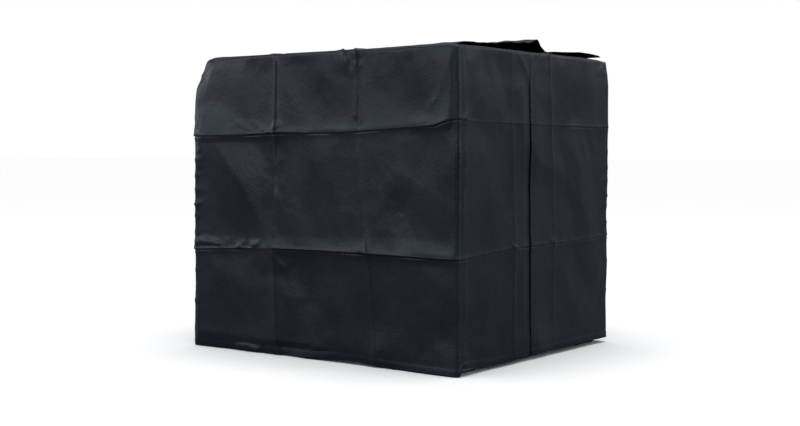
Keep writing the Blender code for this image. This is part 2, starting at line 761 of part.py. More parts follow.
def make_front_panel(inner_x, wall_top, frame, mats):
    """The front panel, open below the flap's fold line to the right of the underlap."""
    front_y = cover_inner_half_sizes()[1]
    clear = 0.001
    outline = [
        (-inner_x, HEM_HEIGHT),
        (UNDERLAP_X, HEM_HEIGHT),
        (UNDERLAP_X, fold_line_z(UNDERLAP_X)),
        (FLAP_FOOT_X + clear, HEM_HEIGHT),
        (inner_x, HEM_HEIGHT),
        (inner_x, wall_top),
        (-inner_x, wall_top),
    ]
    outer_y = -front_y - FABRIC
    prism("cover_front_panel", outline, "XZ", outer_y, -front_y, mats["fabric"], parent=frame)
    (x0, z0), (x1, z1) = lap_strip()
    low, high = (x0, outer_y - GAP - STRIP, z0), (x1, outer_y - GAP, z1)
    block("flap_loop_strip", low, high, mats["strip"], parent=frame)


def lap_strip():
    """(x, z) corners of the strips that close the slit."""
    return (SLIT_X + 0.005, 0.050), (UNDERLAP_X - 0.004, 0.930)


def front_flap_planes():
    """Inner and outer Y of the front flap, which lies over the two strips."""
    front_y = cover_inner_half_sizes()[1]
    inner = -front_y - FABRIC - 2 * STRIP - 3 * GAP
    return inner, inner - FABRIC


def make_front_flap(frame, mats):
    """A three-cornered flap. It folds back about the line from the slit's top to the hem."""
    inner, outer = front_flap_planes()
    hinge = empty("front_flap_hinge", (SLIT_X, outer, SLIT_TOP), parent=frame)
    clear = 0.002
    drop = HEM_HEIGHT - SLIT_TOP
    outline = [(0, -clear), (0, drop), (FLAP_FOOT_X - SLIT_X - clear, drop)]
    prism("front_flap", outline, "XZ", 0, inner - outer, mats["fabric"], parent=hinge)
    (x0, z0), (x1, z1) = lap_strip()
    hook_y = inner - outer + GAP
    low, high = (x0 - SLIT_X, hook_y, z0 - SLIT_TOP), (x1 - SLIT_X, hook_y + STRIP, z1 - SLIT_TOP)
    block("flap_hook_strip", low, high, mats["strip"], parent=hinge)


def make_inlet_flap(surface, frame, mats):
    """A flap over the opening in the top, hinged at its rear, with its front edge standing a little open."""
    hinge_height = surface + 2 * GAP + STRIP + FABRIC
    hinge = empty("inlet_flap_hinge", (0, INLET_HINGE_Y, hinge_height), (-INLET_LIFT, 0, 0), frame)
    length = (INLET_HINGE_Y - INLET_FRONT_Y) / cos(INLET_LIFT)
    low, high = (INLET_LEFT_X, -length, -FABRIC), (INLET_RIGHT_X, 0, 0)
    block("inlet_flap", low, high, mats["fabric"], parent=hinge)
    strip_x0, strip_x1 = INLET_LEFT_X + 0.010, INLET_RIGHT_X - 0.010
    strip_y0, strip_y1 = INLET_FRONT_Y + 0.010, INLET_FRONT_Y + 0.045
    block(
        "inlet_loop_strip",
        (strip_x0, strip_y0, surface + GAP),
        (strip_x1, strip_y1, surface + GAP + STRIP),
        mats["strip"], parent=frame,
    )  # fmt: skip
    block(
        "inlet_hook_strip",
        (strip_x0, strip_y0 - INLET_HINGE_Y, -FABRIC - GAP - STRIP),
        (strip_x1, strip_y1 - INLET_HINGE_Y, -FABRIC - GAP),
        mats["strip"], parent=hinge,
    )  # fmt: skip


def main():
    clear_scene()
    mats = make_materials()
    deck = make_pallet(mats)
    make_cage(deck, mats)
    make_bottle(mats)
    make_fill_cap(mats)
    make_valve(mats)
    make_cover(mats)


main()
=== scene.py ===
"""Visual model of a 1000 litre container under its fitted fabric cover.

Metres, +Z up, the front (valve side) towards -Y. The tables of folds are in millimetres. A point on a wall is
the distance from its left or front corner and the height above the floor; on the top it is x and y. A fold or
facet has its points, the heights along it, and its width on its positive and on its negative side.
"""

import json
import math

import bpy
import numpy as np
from mathutils import Vector
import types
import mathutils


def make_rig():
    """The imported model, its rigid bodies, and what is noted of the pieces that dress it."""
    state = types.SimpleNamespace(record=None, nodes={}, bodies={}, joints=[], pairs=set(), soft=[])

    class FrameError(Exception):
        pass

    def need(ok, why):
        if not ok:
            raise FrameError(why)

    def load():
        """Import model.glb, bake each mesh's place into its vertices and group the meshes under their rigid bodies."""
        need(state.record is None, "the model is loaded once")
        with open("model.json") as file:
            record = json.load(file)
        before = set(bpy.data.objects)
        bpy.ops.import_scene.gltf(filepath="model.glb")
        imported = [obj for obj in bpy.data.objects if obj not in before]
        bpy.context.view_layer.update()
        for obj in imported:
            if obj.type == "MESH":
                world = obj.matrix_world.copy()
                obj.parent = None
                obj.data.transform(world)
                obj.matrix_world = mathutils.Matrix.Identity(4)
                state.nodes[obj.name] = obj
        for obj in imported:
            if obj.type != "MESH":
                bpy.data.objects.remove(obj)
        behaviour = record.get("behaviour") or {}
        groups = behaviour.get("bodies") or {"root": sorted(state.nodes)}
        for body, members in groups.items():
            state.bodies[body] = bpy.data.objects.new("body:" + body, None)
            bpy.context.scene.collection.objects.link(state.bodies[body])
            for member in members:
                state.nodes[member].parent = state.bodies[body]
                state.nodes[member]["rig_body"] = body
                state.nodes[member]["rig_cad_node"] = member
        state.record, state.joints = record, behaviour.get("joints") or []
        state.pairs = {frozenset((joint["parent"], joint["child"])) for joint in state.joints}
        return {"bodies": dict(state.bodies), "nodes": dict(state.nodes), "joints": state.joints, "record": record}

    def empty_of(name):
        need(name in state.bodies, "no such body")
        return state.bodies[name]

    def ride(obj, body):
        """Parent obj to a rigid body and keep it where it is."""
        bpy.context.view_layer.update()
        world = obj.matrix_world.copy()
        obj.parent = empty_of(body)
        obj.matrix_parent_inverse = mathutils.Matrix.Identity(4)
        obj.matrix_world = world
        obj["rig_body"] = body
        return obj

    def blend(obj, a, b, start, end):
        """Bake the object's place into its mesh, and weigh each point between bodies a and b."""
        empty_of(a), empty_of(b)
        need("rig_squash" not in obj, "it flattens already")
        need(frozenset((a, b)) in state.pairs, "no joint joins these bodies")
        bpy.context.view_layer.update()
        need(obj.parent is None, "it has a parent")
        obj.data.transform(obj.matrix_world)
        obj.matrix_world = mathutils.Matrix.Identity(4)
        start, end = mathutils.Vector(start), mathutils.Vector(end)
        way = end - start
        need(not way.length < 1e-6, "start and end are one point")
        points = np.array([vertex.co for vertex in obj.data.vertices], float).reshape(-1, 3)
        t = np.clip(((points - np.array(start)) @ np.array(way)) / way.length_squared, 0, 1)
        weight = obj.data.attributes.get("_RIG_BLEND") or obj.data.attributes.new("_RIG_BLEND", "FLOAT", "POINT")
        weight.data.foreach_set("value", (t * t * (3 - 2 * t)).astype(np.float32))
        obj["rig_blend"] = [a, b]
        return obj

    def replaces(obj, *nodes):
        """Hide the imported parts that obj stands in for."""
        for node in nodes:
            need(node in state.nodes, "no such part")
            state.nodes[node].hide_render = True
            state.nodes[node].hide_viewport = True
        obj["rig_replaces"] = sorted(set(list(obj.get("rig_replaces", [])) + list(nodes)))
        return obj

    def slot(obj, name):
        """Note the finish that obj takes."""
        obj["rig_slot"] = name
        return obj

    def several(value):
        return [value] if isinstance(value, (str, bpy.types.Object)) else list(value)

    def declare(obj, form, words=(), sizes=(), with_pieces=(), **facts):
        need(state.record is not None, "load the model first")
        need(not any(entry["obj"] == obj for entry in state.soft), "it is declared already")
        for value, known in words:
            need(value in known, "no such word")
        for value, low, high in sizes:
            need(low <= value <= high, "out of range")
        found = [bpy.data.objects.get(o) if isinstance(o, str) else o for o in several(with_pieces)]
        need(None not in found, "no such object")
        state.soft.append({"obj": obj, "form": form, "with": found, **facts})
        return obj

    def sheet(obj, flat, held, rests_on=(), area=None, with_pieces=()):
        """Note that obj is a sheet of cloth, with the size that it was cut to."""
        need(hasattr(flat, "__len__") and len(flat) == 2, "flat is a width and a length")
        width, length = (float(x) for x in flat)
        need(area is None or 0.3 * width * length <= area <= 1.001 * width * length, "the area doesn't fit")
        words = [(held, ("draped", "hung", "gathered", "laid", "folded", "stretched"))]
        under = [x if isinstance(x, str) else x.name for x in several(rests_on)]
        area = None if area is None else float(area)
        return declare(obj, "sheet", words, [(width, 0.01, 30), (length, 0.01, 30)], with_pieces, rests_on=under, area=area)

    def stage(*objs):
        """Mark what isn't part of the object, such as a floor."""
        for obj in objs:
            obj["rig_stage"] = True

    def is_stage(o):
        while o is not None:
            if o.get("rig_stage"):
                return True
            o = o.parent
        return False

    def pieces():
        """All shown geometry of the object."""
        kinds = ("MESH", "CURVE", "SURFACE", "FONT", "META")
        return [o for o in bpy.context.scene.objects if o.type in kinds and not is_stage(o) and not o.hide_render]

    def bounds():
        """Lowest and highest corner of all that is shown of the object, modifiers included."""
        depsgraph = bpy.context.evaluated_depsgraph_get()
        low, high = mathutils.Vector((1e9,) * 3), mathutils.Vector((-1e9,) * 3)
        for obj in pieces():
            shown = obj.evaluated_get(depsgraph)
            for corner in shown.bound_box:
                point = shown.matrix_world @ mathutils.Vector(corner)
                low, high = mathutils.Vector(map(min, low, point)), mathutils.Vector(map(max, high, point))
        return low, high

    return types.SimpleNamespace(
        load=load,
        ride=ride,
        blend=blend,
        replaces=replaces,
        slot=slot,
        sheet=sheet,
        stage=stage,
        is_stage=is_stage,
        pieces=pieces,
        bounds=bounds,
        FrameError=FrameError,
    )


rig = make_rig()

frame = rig.load()
cad_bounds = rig.bounds()

MM = 0.001
HALF_X = 0.52  # the cover's outside, half its width
HALF_Y = 0.622
TOP_Z = 1.137
EDGE_RADIUS = 0.01
SLIT_X = -0.06  # free edge of the front flap
SLIT_TOP_Z = 1.06
UNDERLAP_X = -0.02
FLAP_FOOT = (0.47, 0.012)  # x and z where the flap's fold line meets the hem
HATCH_X = (-0.16, 0.12)
HATCH_Y = (-0.15, 0.15)
HEM_DEPTH = 0.0245
STITCH_Z = 0.0205
RIM = (0.49, 0.59, 1.125)  # the cage's top tube: half sizes of its centre line and its height
RIM_RADIUS = 0.01
RIM_CORNER = 0.068

RIGHT = np.array([1.0, 0, 0])
BACK = np.array([0, 1.0, 0])
UP = np.array([0, 0, 1.0])


# --- numbers


def smooth(t):
    t = np.clip(t, 0, 1)
    return t * t * (3 - 2 * t)


def fade(value, start, end):
    """0 before start, 1 after end."""
    return smooth((value - start) / (end - start))


def bell(value, centre, width):
    return np.exp(-(((value - centre) / width) ** 2))


def bump_around(value, centre, reach):
    """1 at the centre, 0 from the reach outwards."""
    return np.clip(1 - ((value - centre) / reach) ** 2, 0, 1) ** 2


def index_of(lines, *values):
    """The number of the grid line nearest to each value."""
    return [int(np.abs(lines - value).argmin()) for value in values]


def metres(millimetres):
    return np.array(millimetres, float) / 1000


def table(rows, along):
    """The rows' second number at a distance along them, in metres; the rows are in millimetres."""
    return np.interp(along, *metres(rows).T)


def noise(points, size, seed):
    """Smooth gradient noise with features of the given size, about -0.5 to 0.5."""
    p = points / size + seed * 17.31
    cell = np.floor(p).astype(np.int64)
    f = p - cell
    u = f * f * f * (f * (f * 6 - 15) + 10)
    total = np.zeros(len(p))
    for corner in np.ndindex(2, 2, 2):
        c = cell + corner
        h = (c @ [374761393, 668265263, 1103515245] + seed * 69069) & 0xFFFFFFFF
        h = ((h ^ (h >> 13)) * 1274126177) & 0xFFFFFFFF
        h ^= h >> 16
        slopes = np.stack([(h & 1023), (h >> 10) & 1023, (h >> 20) & 1023], 1) / 511.5 - 1
        weight = np.prod(np.where(np.array(corner) == 1, u, 1 - u), axis=1)
        total += weight * np.sum(slopes * (f - corner), axis=1)
    return total


def spaced(low, high, step, fine, exact=()):
    """Grid lines from low to high, closer in the fine zones (centre, half width, step), some exact."""
    t = np.linspace(low, high, 4001)
    density = np.full_like(t, 1 / step)
    for centre, half, small in fine:
        density += (1 / small - 1 / step) * np.exp(-(((t - centre) / half) ** 4))
    total = np.concatenate([[0], np.cumsum((density[1:] + density[:-1]) / 2 * np.diff(t))])
    count = int(np.ceil(total[-1]))
    lines = np.interp(np.linspace(0, total[-1], count + 1), total, t)
    for value in exact:
        lines[1 + index_of(lines[1:-1], value)[0]] = value
    return lines


def nearest(a, z, points, heights):
    """Distance from a polyline, which side of it (above is positive for one that runs along the wall, far for
    one that runs down it), and the height read off along it."""
    points = metres(points)
    heights = np.interp(np.linspace(0, 1, len(points)), np.linspace(0, 1, len(heights)), heights)
    best, side, height = np.full(a.shape, 1e9), np.zeros(a.shape), np.zeros(a.shape)
    for k in range(len(points) - 1):
        step = points[k + 1] - points[k]
        from_a, from_z = a - points[k, 0], z - points[k, 1]
        t = np.clip((from_a * step[0] + from_z * step[1]) / (step @ step), 0, 1)
        distance = np.hypot(from_a - t * step[0], from_z - t * step[1])
        closer = distance < best
        best = np.where(closer, distance, best)
        side = np.where(closer, step[0] * from_z - step[1] * from_a, side)
        height = np.where(closer, heights[k] + t * (heights[k + 1] - heights[k]), height)
    return best, side, MM * height


FOLD_TIP = 1.2 * MM  # radius of a fold's tip
CRISP_SHARE = 0.22  # width of a fold's crisp part, as a share of its whole width
FACET_EASE = 0.04  # how softly a facet runs out


def fold(a, z, points, heights, width_over, width_under, groove=0.0, crisp=(0.45, 0.45)):
    """Height of a sharp fold along a polyline. A groove can run along its negative side, where the cloth is
    tucked in."""
    distance, side, height = nearest(a, z, points, heights)
    tucked = bell(distance, 5.0 * MM, 2.6 * MM) - 0.4 * bell(distance, 12.5 * MM, 3.6 * MM)
    away = (np.hypot(distance, FOLD_TIP) - FOLD_TIP) / (MM * np.where(side > 0, width_over, width_under))
    crisp = np.where(side > 0, *crisp)
    shape = (1 - crisp) * np.exp(-away) + crisp * np.exp(-away / CRISP_SHARE)
    return height * (shape - groove * np.where(side > 0, 0, tucked))


def facet(a, z, points, heights, width_over, width_under):
    """Two nearly flat facets that meet in a line and run out at the given widths."""
    distance, side, height = nearest(a, z, points, heights)
    flat = np.clip(1 - distance / (MM * np.where(side > 0, width_over, width_under)), 0, None)
    return height * (np.hypot(flat, FACET_EASE) - FACET_EASE)


# --- folds

# The two rows of folds that run round the cover, and the heights at which a wall's even grid has them.
UPPER_FOLD = {
    "left": [(0, 884), (37, 879), (96, 862), (447, 844), (611, 840), (833, 839), (972, 834), (1244, 831)],
    "front": [(0, 884), (80, 876), (500, 870), (1040, 864)],
    "right": [(0, 864), (300, 852), (800, 842), (1244, 848)],
    "rear": [(0, 831), (500, 843), (1040, 848)],
}
LOWER_FOLD = {
    "left": [(0, 404), (388, 408), (613, 408), (861, 404), (1244, 385)],
    "front": [(0, 404), (333, 424), (691, 424), (1040, 433)],
    "right": [(0, 433), (500, 412), (1244, 400)],
    "rear": [(0, 385), (500, 400), (1040, 400)],
}
UPPER_ROW, LOWER_ROW = 0.85, 0.41

# Heights and widths of the upper and the lower row on each wall.
ACROSS_FOLDS = {
    "left": (([4, 7, 8, 8, 8, 8, 8, 8, 6], 30, 22), ([6, 11, 11, 9, 8, 9, 8], 46, 17)),
    "front": (([3.5, 1.6, 1.5, 1.6, 2.5], 26, 26), ([3.5, 3.6, 3.4, 3.6, 3.5], 30, 22)),
    "right": (([3, 6, 6.5, 6, 3.5], 55, 26), ([3.5, 6, 6.5, 6, 4], 60, 20)),
    "rear": (([4, 6, 6.5, 6, 3.5], 55, 26), ([5, 6, 6.5, 6, 4], 60, 20)),
}

# Folds that run down each wall, each after its distance in the wall's even grid.
DOWN_FOLDS = {
    "left": [
        (848, [(828, 1137), (826, 850), (832, 620), (836, 408), (815, 0)], [5, 6, 2, 4, 6], 50, 16),
        (450, [(442, 1137), (438, 1075), (427, 990), (431, 855), (412, 630), (388, 408), (353, 0)],
         [10, 4, -4, -5, 3, 6, 5], 34, 18),
        (675, [(678, 160), (673, 0)], [0, 2.5], 22, 16),
    ],
    "front": [
        (340, [(340, 1137), (336, 865), (352, 596), (356, 124), (356, 0)], [1.5, 2, 3, 3, 2.5], 34, 26),
        (602, [(602, 1137), (629, 587), (643, 0)], [4, 2.5, 2, 2, 2], 30, 30),
    ],
    "right": [
        (848, [(848, 1137), (838, 600), (846, 0)], [4, 3, 3.5], 34, 40),
        (450, [(450, 1137), (462, 850), (440, 408), (452, 0)], [5, 4, 2.5, 3.5], 34, 46),
    ],
    "rear": [
        (340, [(340, 1137), (352, 600), (338, 0)], [3.5, 2.5, 4], 40, 30),
        (602, [(602, 1137), (690, 500), (700, 0)], [4, 3, 3.5], 34, 40),
    ],
}

# Short folds and puckers.
SHORT_FOLDS = {
    "left": [
        ([(500, 1137), (470, 1060), (452, 990)], [6, 3, 0], 14, 11),
        ([(560, 1125), (520, 1040)], [3, 0], 12, 12), ([(330, 1130), (372, 1030)], [3.5, 0], 14, 10),
        ([(250, 1120), (330, 960)], [2.5, 0], 22, 22),
        ([(20, 1110), (80, 960), (150, 900)], [2.5, 3.5, 0], 26, 16),
        ([(880, 1120), (950, 1040)], [3, 0], 14, 14),
        ([(960, 884), (1020, 868), (1080, 850)], [0, 3, 0], 10, 8),
        ([(850, 838), (912, 868), (975, 884)], [3, 3, 0], 10, 10),
        ([(150, 408), (190, 330)], [3, 0], 16, 10), ([(560, 408), (530, 345)], [2.5, 0], 12, 10),
        ([(1000, 400), (1060, 432), (1120, 428)], [3, 3.5, 0], 9, 9),
        ([(1090, 395), (1150, 420)], [3, 1], 8, 8), ([(930, 12), (960, 30), (1020, 22)], [1, 4, 1], 10, 14),
        ([(880, 350), (905, 180)], [2, 0], 20, 14), ([(60, 300), (85, 80)], [1.5, 2.5], 24, 20),
    ],
    "front": [
        ([(37, 1120), (37, 600), (40, 30)], [3, 3, 3.2, 3], 15, 9),
        ([(395, 1112), (440, 1055), (452, 1010)], [4.5, 3.5, 0], 13, 10),
        ([(471, 1118), (464, 1058)], [5, 3.5], 9, 9),
        ([(542, 1122), (500, 1060), (486, 1000)], [5, 3.5, 0], 12, 10),
        ([(579, 1085), (530, 1010)], [3, 0], 10, 10), ([(369, 992), (430, 1035)], [2.5, 0], 12, 12),
        ([(30, 884), (110, 950), (190, 980)], [3, 2, 0], 20, 16),
        ([(930, 1060), (990, 1100), (1020, 1122)], [0, 3, 2], 12, 12),
        ([(350, 424), (300, 462)], [3, 0], 10, 10), ([(640, 424), (628, 360)], [3, 0], 9, 9),
        ([(700, 424), (760, 452)], [2.5, 0], 9, 9), ([(960, 300), (930, 120)], [2, 0], 24, 20),
        ([(200, 800), (160, 620)], [1.6, 0], 26, 20),
    ],
    "right": [
        ([(300, 430), (480, 640), (620, 830)], [3, 6, 4], 70, 50),
        ([(450, 1130), (520, 1020), (560, 900)], [5, 3, 0], 20, 16),
        ([(900, 1120), (960, 980)], [4, 0], 20, 16), ([(120, 840), (200, 700)], [3, 0], 24, 18),
        ([(850, 405), (980, 250)], [4, 0], 30, 18), ([(1060, 820), (960, 560)], [4, 0], 40, 30),
    ],
    "rear": [
        ([(250, 1120), (300, 980)], [4, 0], 20, 16), ([(620, 1120), (700, 960)], [4, 0], 24, 16),
        ([(800, 840), (700, 620), (690, 420)], [3, 5, 3], 50, 60),
        ([(120, 400), (220, 250)], [3, 0], 24, 18), ([(900, 395), (860, 220)], [3, 0], 24, 18),
    ],
}

# Broad, nearly flat facets, and a few small hard ones beside the rows of folds.
FACETS = {
    "left": [
        ([(861, 423), (989, 640), (1138, 813)], [14, 20, 17], 150, 130),
        ([(880, 838), (1190, 832)], [7, 9], 230, 26), ([(1160, 1100), (1190, 930)], [4, 4], 60, 110),
        ([(30, 1137), (36, 890)], [5, 6], 100, 28), ([(490, 1120), (462, 1040)], [9, 2], 70, 16),
        ([(455, 1060), (440, 900)], [3, 5], 18, 50), ([(826, 1120), (826, 870)], [4, 5], 120, 80),
        ([(700, 1080), (560, 900)], [-6, -4], 110, 100), ([(250, 1060), (200, 900)], [-5, -5], 100, 90),
        ([(40, 879), (200, 857)], [5, 3], 90, 25),
        ([(1170, 640), (1080, 500), (960, 410)], [-6, -12, -9], 180, 110),
        ([(820, 600), (700, 440)], [5, 3], 70, 80), ([(600, 760), (520, 560)], [4, 4], 120, 110),
        ([(140, 780), (230, 560), (160, 440)], [-5, -7, -4], 90, 110),
        ([(1244, 905), (1215, 865), (1190, 850)], [5, 5, 2], 10, 16),
        ([(1244, 880), (1205, 845)], [-5, -3], 9, 9),
        ([(1040, 905), (985, 862), (940, 850)], [2, 4, 2], 9, 14),
        ([(851, 398), (830, 372), (790, 335), (765, 325)], [5, 5, 4, 1], 7, 8),
        ([(770, 352), (735, 344)], [3, 1], 7, 8), ([(395, 404), (372, 372)], [4, 1], 7, 7),
        ([(440, 404), (430, 380)], [3, 1], 7, 7), ([(1236, 416), (1120, 413)], [10, 9], 10, 7),
        ([(20, 404), (380, 408)], [7, 5], 60, 20), ([(12, 405), (180, 406)], [4, 2], 16, 8),
        ([(420, 408), (800, 405)], [4, 4], 50, 20), ([(860, 50), (1220, 60)], [13, 13], 330, 60),
        ([(836, 390), (815, 20)], [5, 6], 60, 40), ([(700, 300), (560, 120)], [-5, -4], 100, 100),
        ([(300, 330), (200, 80)], [-4, -4], 110, 110), ([(356, 150), (353, 0)], [0, 4], 50, 30),
        ([(920, 10), (1010, 14)], [9, 7], 24, 20),
    ],
    "front": [
        ([(60, 1080), (180, 900)], [4, 3], 90, 90), ([(250, 1100), (330, 900)], [-4, -4], 80, 60),
        ([(680, 1090), (900, 1010)], [3, 2], 110, 100), ([(150, 760), (220, 500)], [4, 3], 90, 100),
        ([(760, 820), (860, 500)], [4, 5], 110, 90), ([(200, 330), (150, 100)], [3, 4], 90, 80),
        ([(700, 330), (830, 120)], [4, 4], 90, 80),
    ],
    "right": [
        ([(200, 1050), (380, 900)], [7, 5], 110, 100), ([(700, 1080), (640, 880)], [-5, -6], 100, 90),
        ([(1000, 900), (1180, 1080)], [6, 5], 100, 90), ([(700, 780), (600, 460)], [8, 6], 130, 110),
        ([(1100, 760), (960, 450)], [-6, -5], 110, 90), ([(250, 330), (350, 60)], [6, 5], 100, 90),
        ([(750, 300), (640, 80)], [-5, -5], 100, 110),
    ],
    "rear": [
        ([(150, 1080), (280, 890)], [6, 6], 90, 80), ([(500, 1060), (420, 890)], [-5, -5], 90, 90),
        ([(850, 1070), (920, 880)], [6, 4], 90, 90), ([(500, 760), (620, 480)], [7, 6], 120, 110),
        ([(160, 740), (240, 470)], [-5, -6], 100, 90), ([(480, 320), (560, 80)], [6, 5], 110, 90),
        ([(880, 300), (800, 60)], [-5, -4], 100, 100),
    ],
}

# Puckers at the left rear and right front edges: height, length and lift.
EDGE_PUCKERS = ((735, 70, 5), (675, 80, 5), (617, 60, 4.5), (561, 80, 5.5), (518, 60, 4.5), (455, 80, 4),
                (300, 50, 3), (180, 60, 3))

# Crushed places: the middle, how far it spreads each way, the number of facets and their lift.
CRUSHED = {
    "left": [
        (1060, 414, 180, 10, 24, 4.5), (1215, 620, 25, 160, 16, 4), (830, 700, 50, 45, 5, 1.6),
        (800, 560, 70, 50, 6, 1.4), (832, 862, 50, 16, 5, 3), (400, 398, 40, 22, 6, 3.2),
        (1225, 860, 18, 30, 4, 4), (450, 1100, 50, 22, 5, 3.5),
    ],
    "front": [
        (1015, 600, 20, 200, 9, 3), (1010, 1080, 20, 30, 4, 3.5), (352, 424, 30, 20, 4, 2.5),
        (640, 424, 30, 20, 4, 2.5),
    ],
    "right": [
        (30, 600, 20, 200, 10, 3), (850, 400, 120, 25, 10, 4), (450, 860, 80, 20, 7, 3.5),
        (1215, 620, 20, 200, 10, 3.5),
    ],
    "rear": [
        (30, 620, 20, 180, 12, 4), (340, 400, 100, 25, 8, 4), (700, 850, 80, 20, 7, 3.5),
        (1010, 600, 20, 200, 8, 3.5),
    ],
}


def add_puckers():
    for z, run, lift in EDGE_PUCKERS:
        SHORT_FOLDS["left"].append(([(1244, z), (1244 - run, z + 8)], [lift, 0], 12, 9))
        SHORT_FOLDS["rear"].append(([(0, z), (0.8 * run, z + 12)], [lift, 0], 10, 9))
        SHORT_FOLDS["right"].append(([(0, z + 30), (run, z + 20)], [0.7 * lift, 0], 10, 9))
        SHORT_FOLDS["front"].append(([(1040, z + 30), (1040 - run, z + 36)], [0.6 * lift, 0], 9, 9))


def add_crushed_places():
    dice = np.random.RandomState(7)
    repeated = [(wall, row) for wall, places in CRUSHED.items() for row in places for _ in range(row[4])]
    for wall, (a, z, spread_a, spread_z, _, lift) in repeated:
        from_a, from_z = a + spread_a * dice.uniform(-1, 1), z + spread_z * dice.uniform(-1, 1)
        run, turn = dice.uniform(18, 45), math.radians(dice.uniform(-32, 32))
        path = [(from_a, from_z), (from_a + run * math.cos(turn), from_z + run * math.sin(turn))]
        heights = [lift * dice.uniform(0.5, 1), 0.3 * lift]
        FACETS[wall].append((path, heights, dice.uniform(8, 13), dice.uniform(5, 10)))


add_puckers()
add_crushed_places()

# Folds of the top.
TOP_FOLDS = [
    ([(-520, 226), (0, 236), (520, 226)], [3.5, 2.5, 3.5, 4], 34, 34),
    ([(-520, -172), (-200, -176), (0, -180), (520, -172)], [8, 1, 1, 3, 5], 34, 34),
    ([(-180, -622), (-176, 0), (-180, 622)], [1.5, 1, 3, 3.5], 30, 30),
    ([(82, -622), (190, -200), (200, 300), (82, 622)], [4, 1, 2, 4], 30, 30),
    ([(-500, 600), (-360, 460), (-240, 380)], [5, 4, 0], 30, 24),
    ([(500, 600), (360, 480), (250, 400)], [4, 4, 0], 30, 24),
    ([(500, -590), (380, -420), (300, -300)], [4, 3, 0], 24, 24),
    ([(300, 100), (440, -50), (500, -200)], [0, 3, 0], 24, 24),
    ([(-50, 590), (-20, 460), (60, 360)], [4, 3, 0], 24, 20),
    ([(-490, 380), (-300, 300), (-120, 300)], [3, 3, 0], 24, 20),
]

# The hem's height above the floor along each wall.
HEM = {
    "left": [(0, 2), (70, 1), (245, 2), (360, 9), (470, 13), (600, 8), (710, 3), (905, 4), (1244, 2)],
    "front": [(0, 2), (7, 4), (14, 26), (40, 26), (150, 20), (269, 14), (547, 18), (773, 20), (1040, 19)],
    "right": [(0, 22), (400, 10), (900, 18), (1244, 8)],
    "rear": [(0, 2), (300, 12), (700, 5), (1040, 8)],
}

# How far each top edge rises above or sags below TOP_Z.
TOP_EDGES = {
    "left": [(0, 0), (250, -3), (460, -2), (515, 1), (570, -2.5), (720, -4), (851, -0.5), (920, -3.5),
             (1050, -5), (1244, -8)],
    "front": [(0, 0), (200, -2), (340, -1), (470, -3), (600, -1), (800, -4), (950, -4.5), (1040, -3)],
    "right": [(0, -3), (300, -6), (450, -1), (650, -5), (850, -1), (1050, -6), (1244, -4)],
    "rear": [(0, -8), (200, -6), (340, -1), (500, -6), (660, -1), (850, -6), (1040, -4)],
}

# --- the cover's surface

CORNER_STEP = 0.0042
FOLD_REACH = 0.17  # how far the grid is drawn along by a fold down a wall, and by a row of folds
ROW_REACH = 0.15
HEM_REACH = 0.16
DEEPEST = 6.5 * MM  # the cloth dips no further than this, and rises more and more slowly past EASE_FROM
EASE_FROM = 14 * MM
EASE_OVER = 11 * MM

WALL_AT = {"left": -HALF_X, "right": HALF_X, "front": -HALF_Y, "rear": HALF_Y}
ALONG_X = ("front", "rear")
FLAT_CREASES = (  # direction, spacing of the creases in metres, lift in millimetres
    ((0.62, 0.62, 0.48), 0.37, 5.5),
    ((-0.55, -0.6, 0.58), 0.29, 4.5),
    ((0.3, -0.34, 0.89), 0.31, 3.6),
    ((0.72, 0.66, -0.22), 0.23, 2.6),
)
CORNER_BULGES = (  # side in x and y, push in x and y in millimetres, share lost at the top
    (-1, 1, 8, 10, 0.9),
    (1, -1, 12, 8, 0.35),
)
CORNER_SLUMPS = (  # side in x and y, width and height of the slump, drop and pull inwards
    (-1, 1, 0.075, 0.11, 0.048, 0.012),
    (1, 1, 0.06, 0.1, 0.036, 0.009),
    (1, -1, 0.022, 0.04, 0.004, 0.002),
    (-1, -1, 0.02, 0.05, 0.004, 0.001),
)


def wall_base(wall, a, z):
    """The sharp box's point on a wall."""
    plane = np.full_like(a, WALL_AT[wall])
    return np.stack([a - HALF_X, plane, z] if wall in ALONG_X else [plane, a - HALF_Y, z], 1)


def rounded(points):
    """The sharp box's points moved onto the box with rounded edges, and their outward directions."""
    high = np.array([HALF_X, HALF_Y, TOP_Z]) - EDGE_RADIUS
    inner = np.clip(points, [-high[0], -high[1], -1], high)
    out = points - inner
    out /= np.linalg.norm(out, axis=1)[:, None]
    return inner + EDGE_RADIUS * out, out


def crumple(points):
    """Slack and small creases everywhere, in metres."""
    soft = 5.0 * noise(points, 0.36, 3) + 2.0 * noise(points, 0.17, 5)
    for k, (direction, spacing, lift) in enumerate(FLAT_CREASES):
        phase = points @ np.array(direction) / spacing + 0.8 * noise(points, 0.33, 61 + k)
        strength = np.clip(0.55 + 1.6 * noise(points, 0.4, 71 + k), 0, 1.2)
        soft += lift * strength * (np.abs((phase % 1) * 2 - 1) - 0.5)
    ridges = 1.1 - 4.6 * np.abs(noise(points * [1, 1, 0.8], 0.085, 11))
    small_ridges = 0.4 - 1.7 * np.abs(noise(points, 0.046, 23))
    busy = 0.25 + 1.2 * np.clip(noise(points, 0.28, 31) + 0.05, 0, 1)
    return MM * (soft + busy * (ridges + small_ridges))


def lap_offset(x, z, outer):
    """The front flap's edge stands proud of the panel beneath it, and the two meet above the slit."""
    above = 1 - fade(z, 0.985, SLIT_TOP_Z)
    if outer:
        settled = 1 - 0.75 * fade(x, UNDERLAP_X, 0.07)
        edge = 1.6 * bell(x, SLIT_X + 0.005, 0.005) - 0.9 * bell(x, SLIT_X + 0.013, 0.0022)
        low = 1 - 0.35 * (1 - fade(z, 0.02, 0.35))
        return MM * above * (3.0 * settled * low + edge)
    return -MM * above * 0.8 * fade(x, SLIT_X - 0.012, SLIT_X + 0.002)


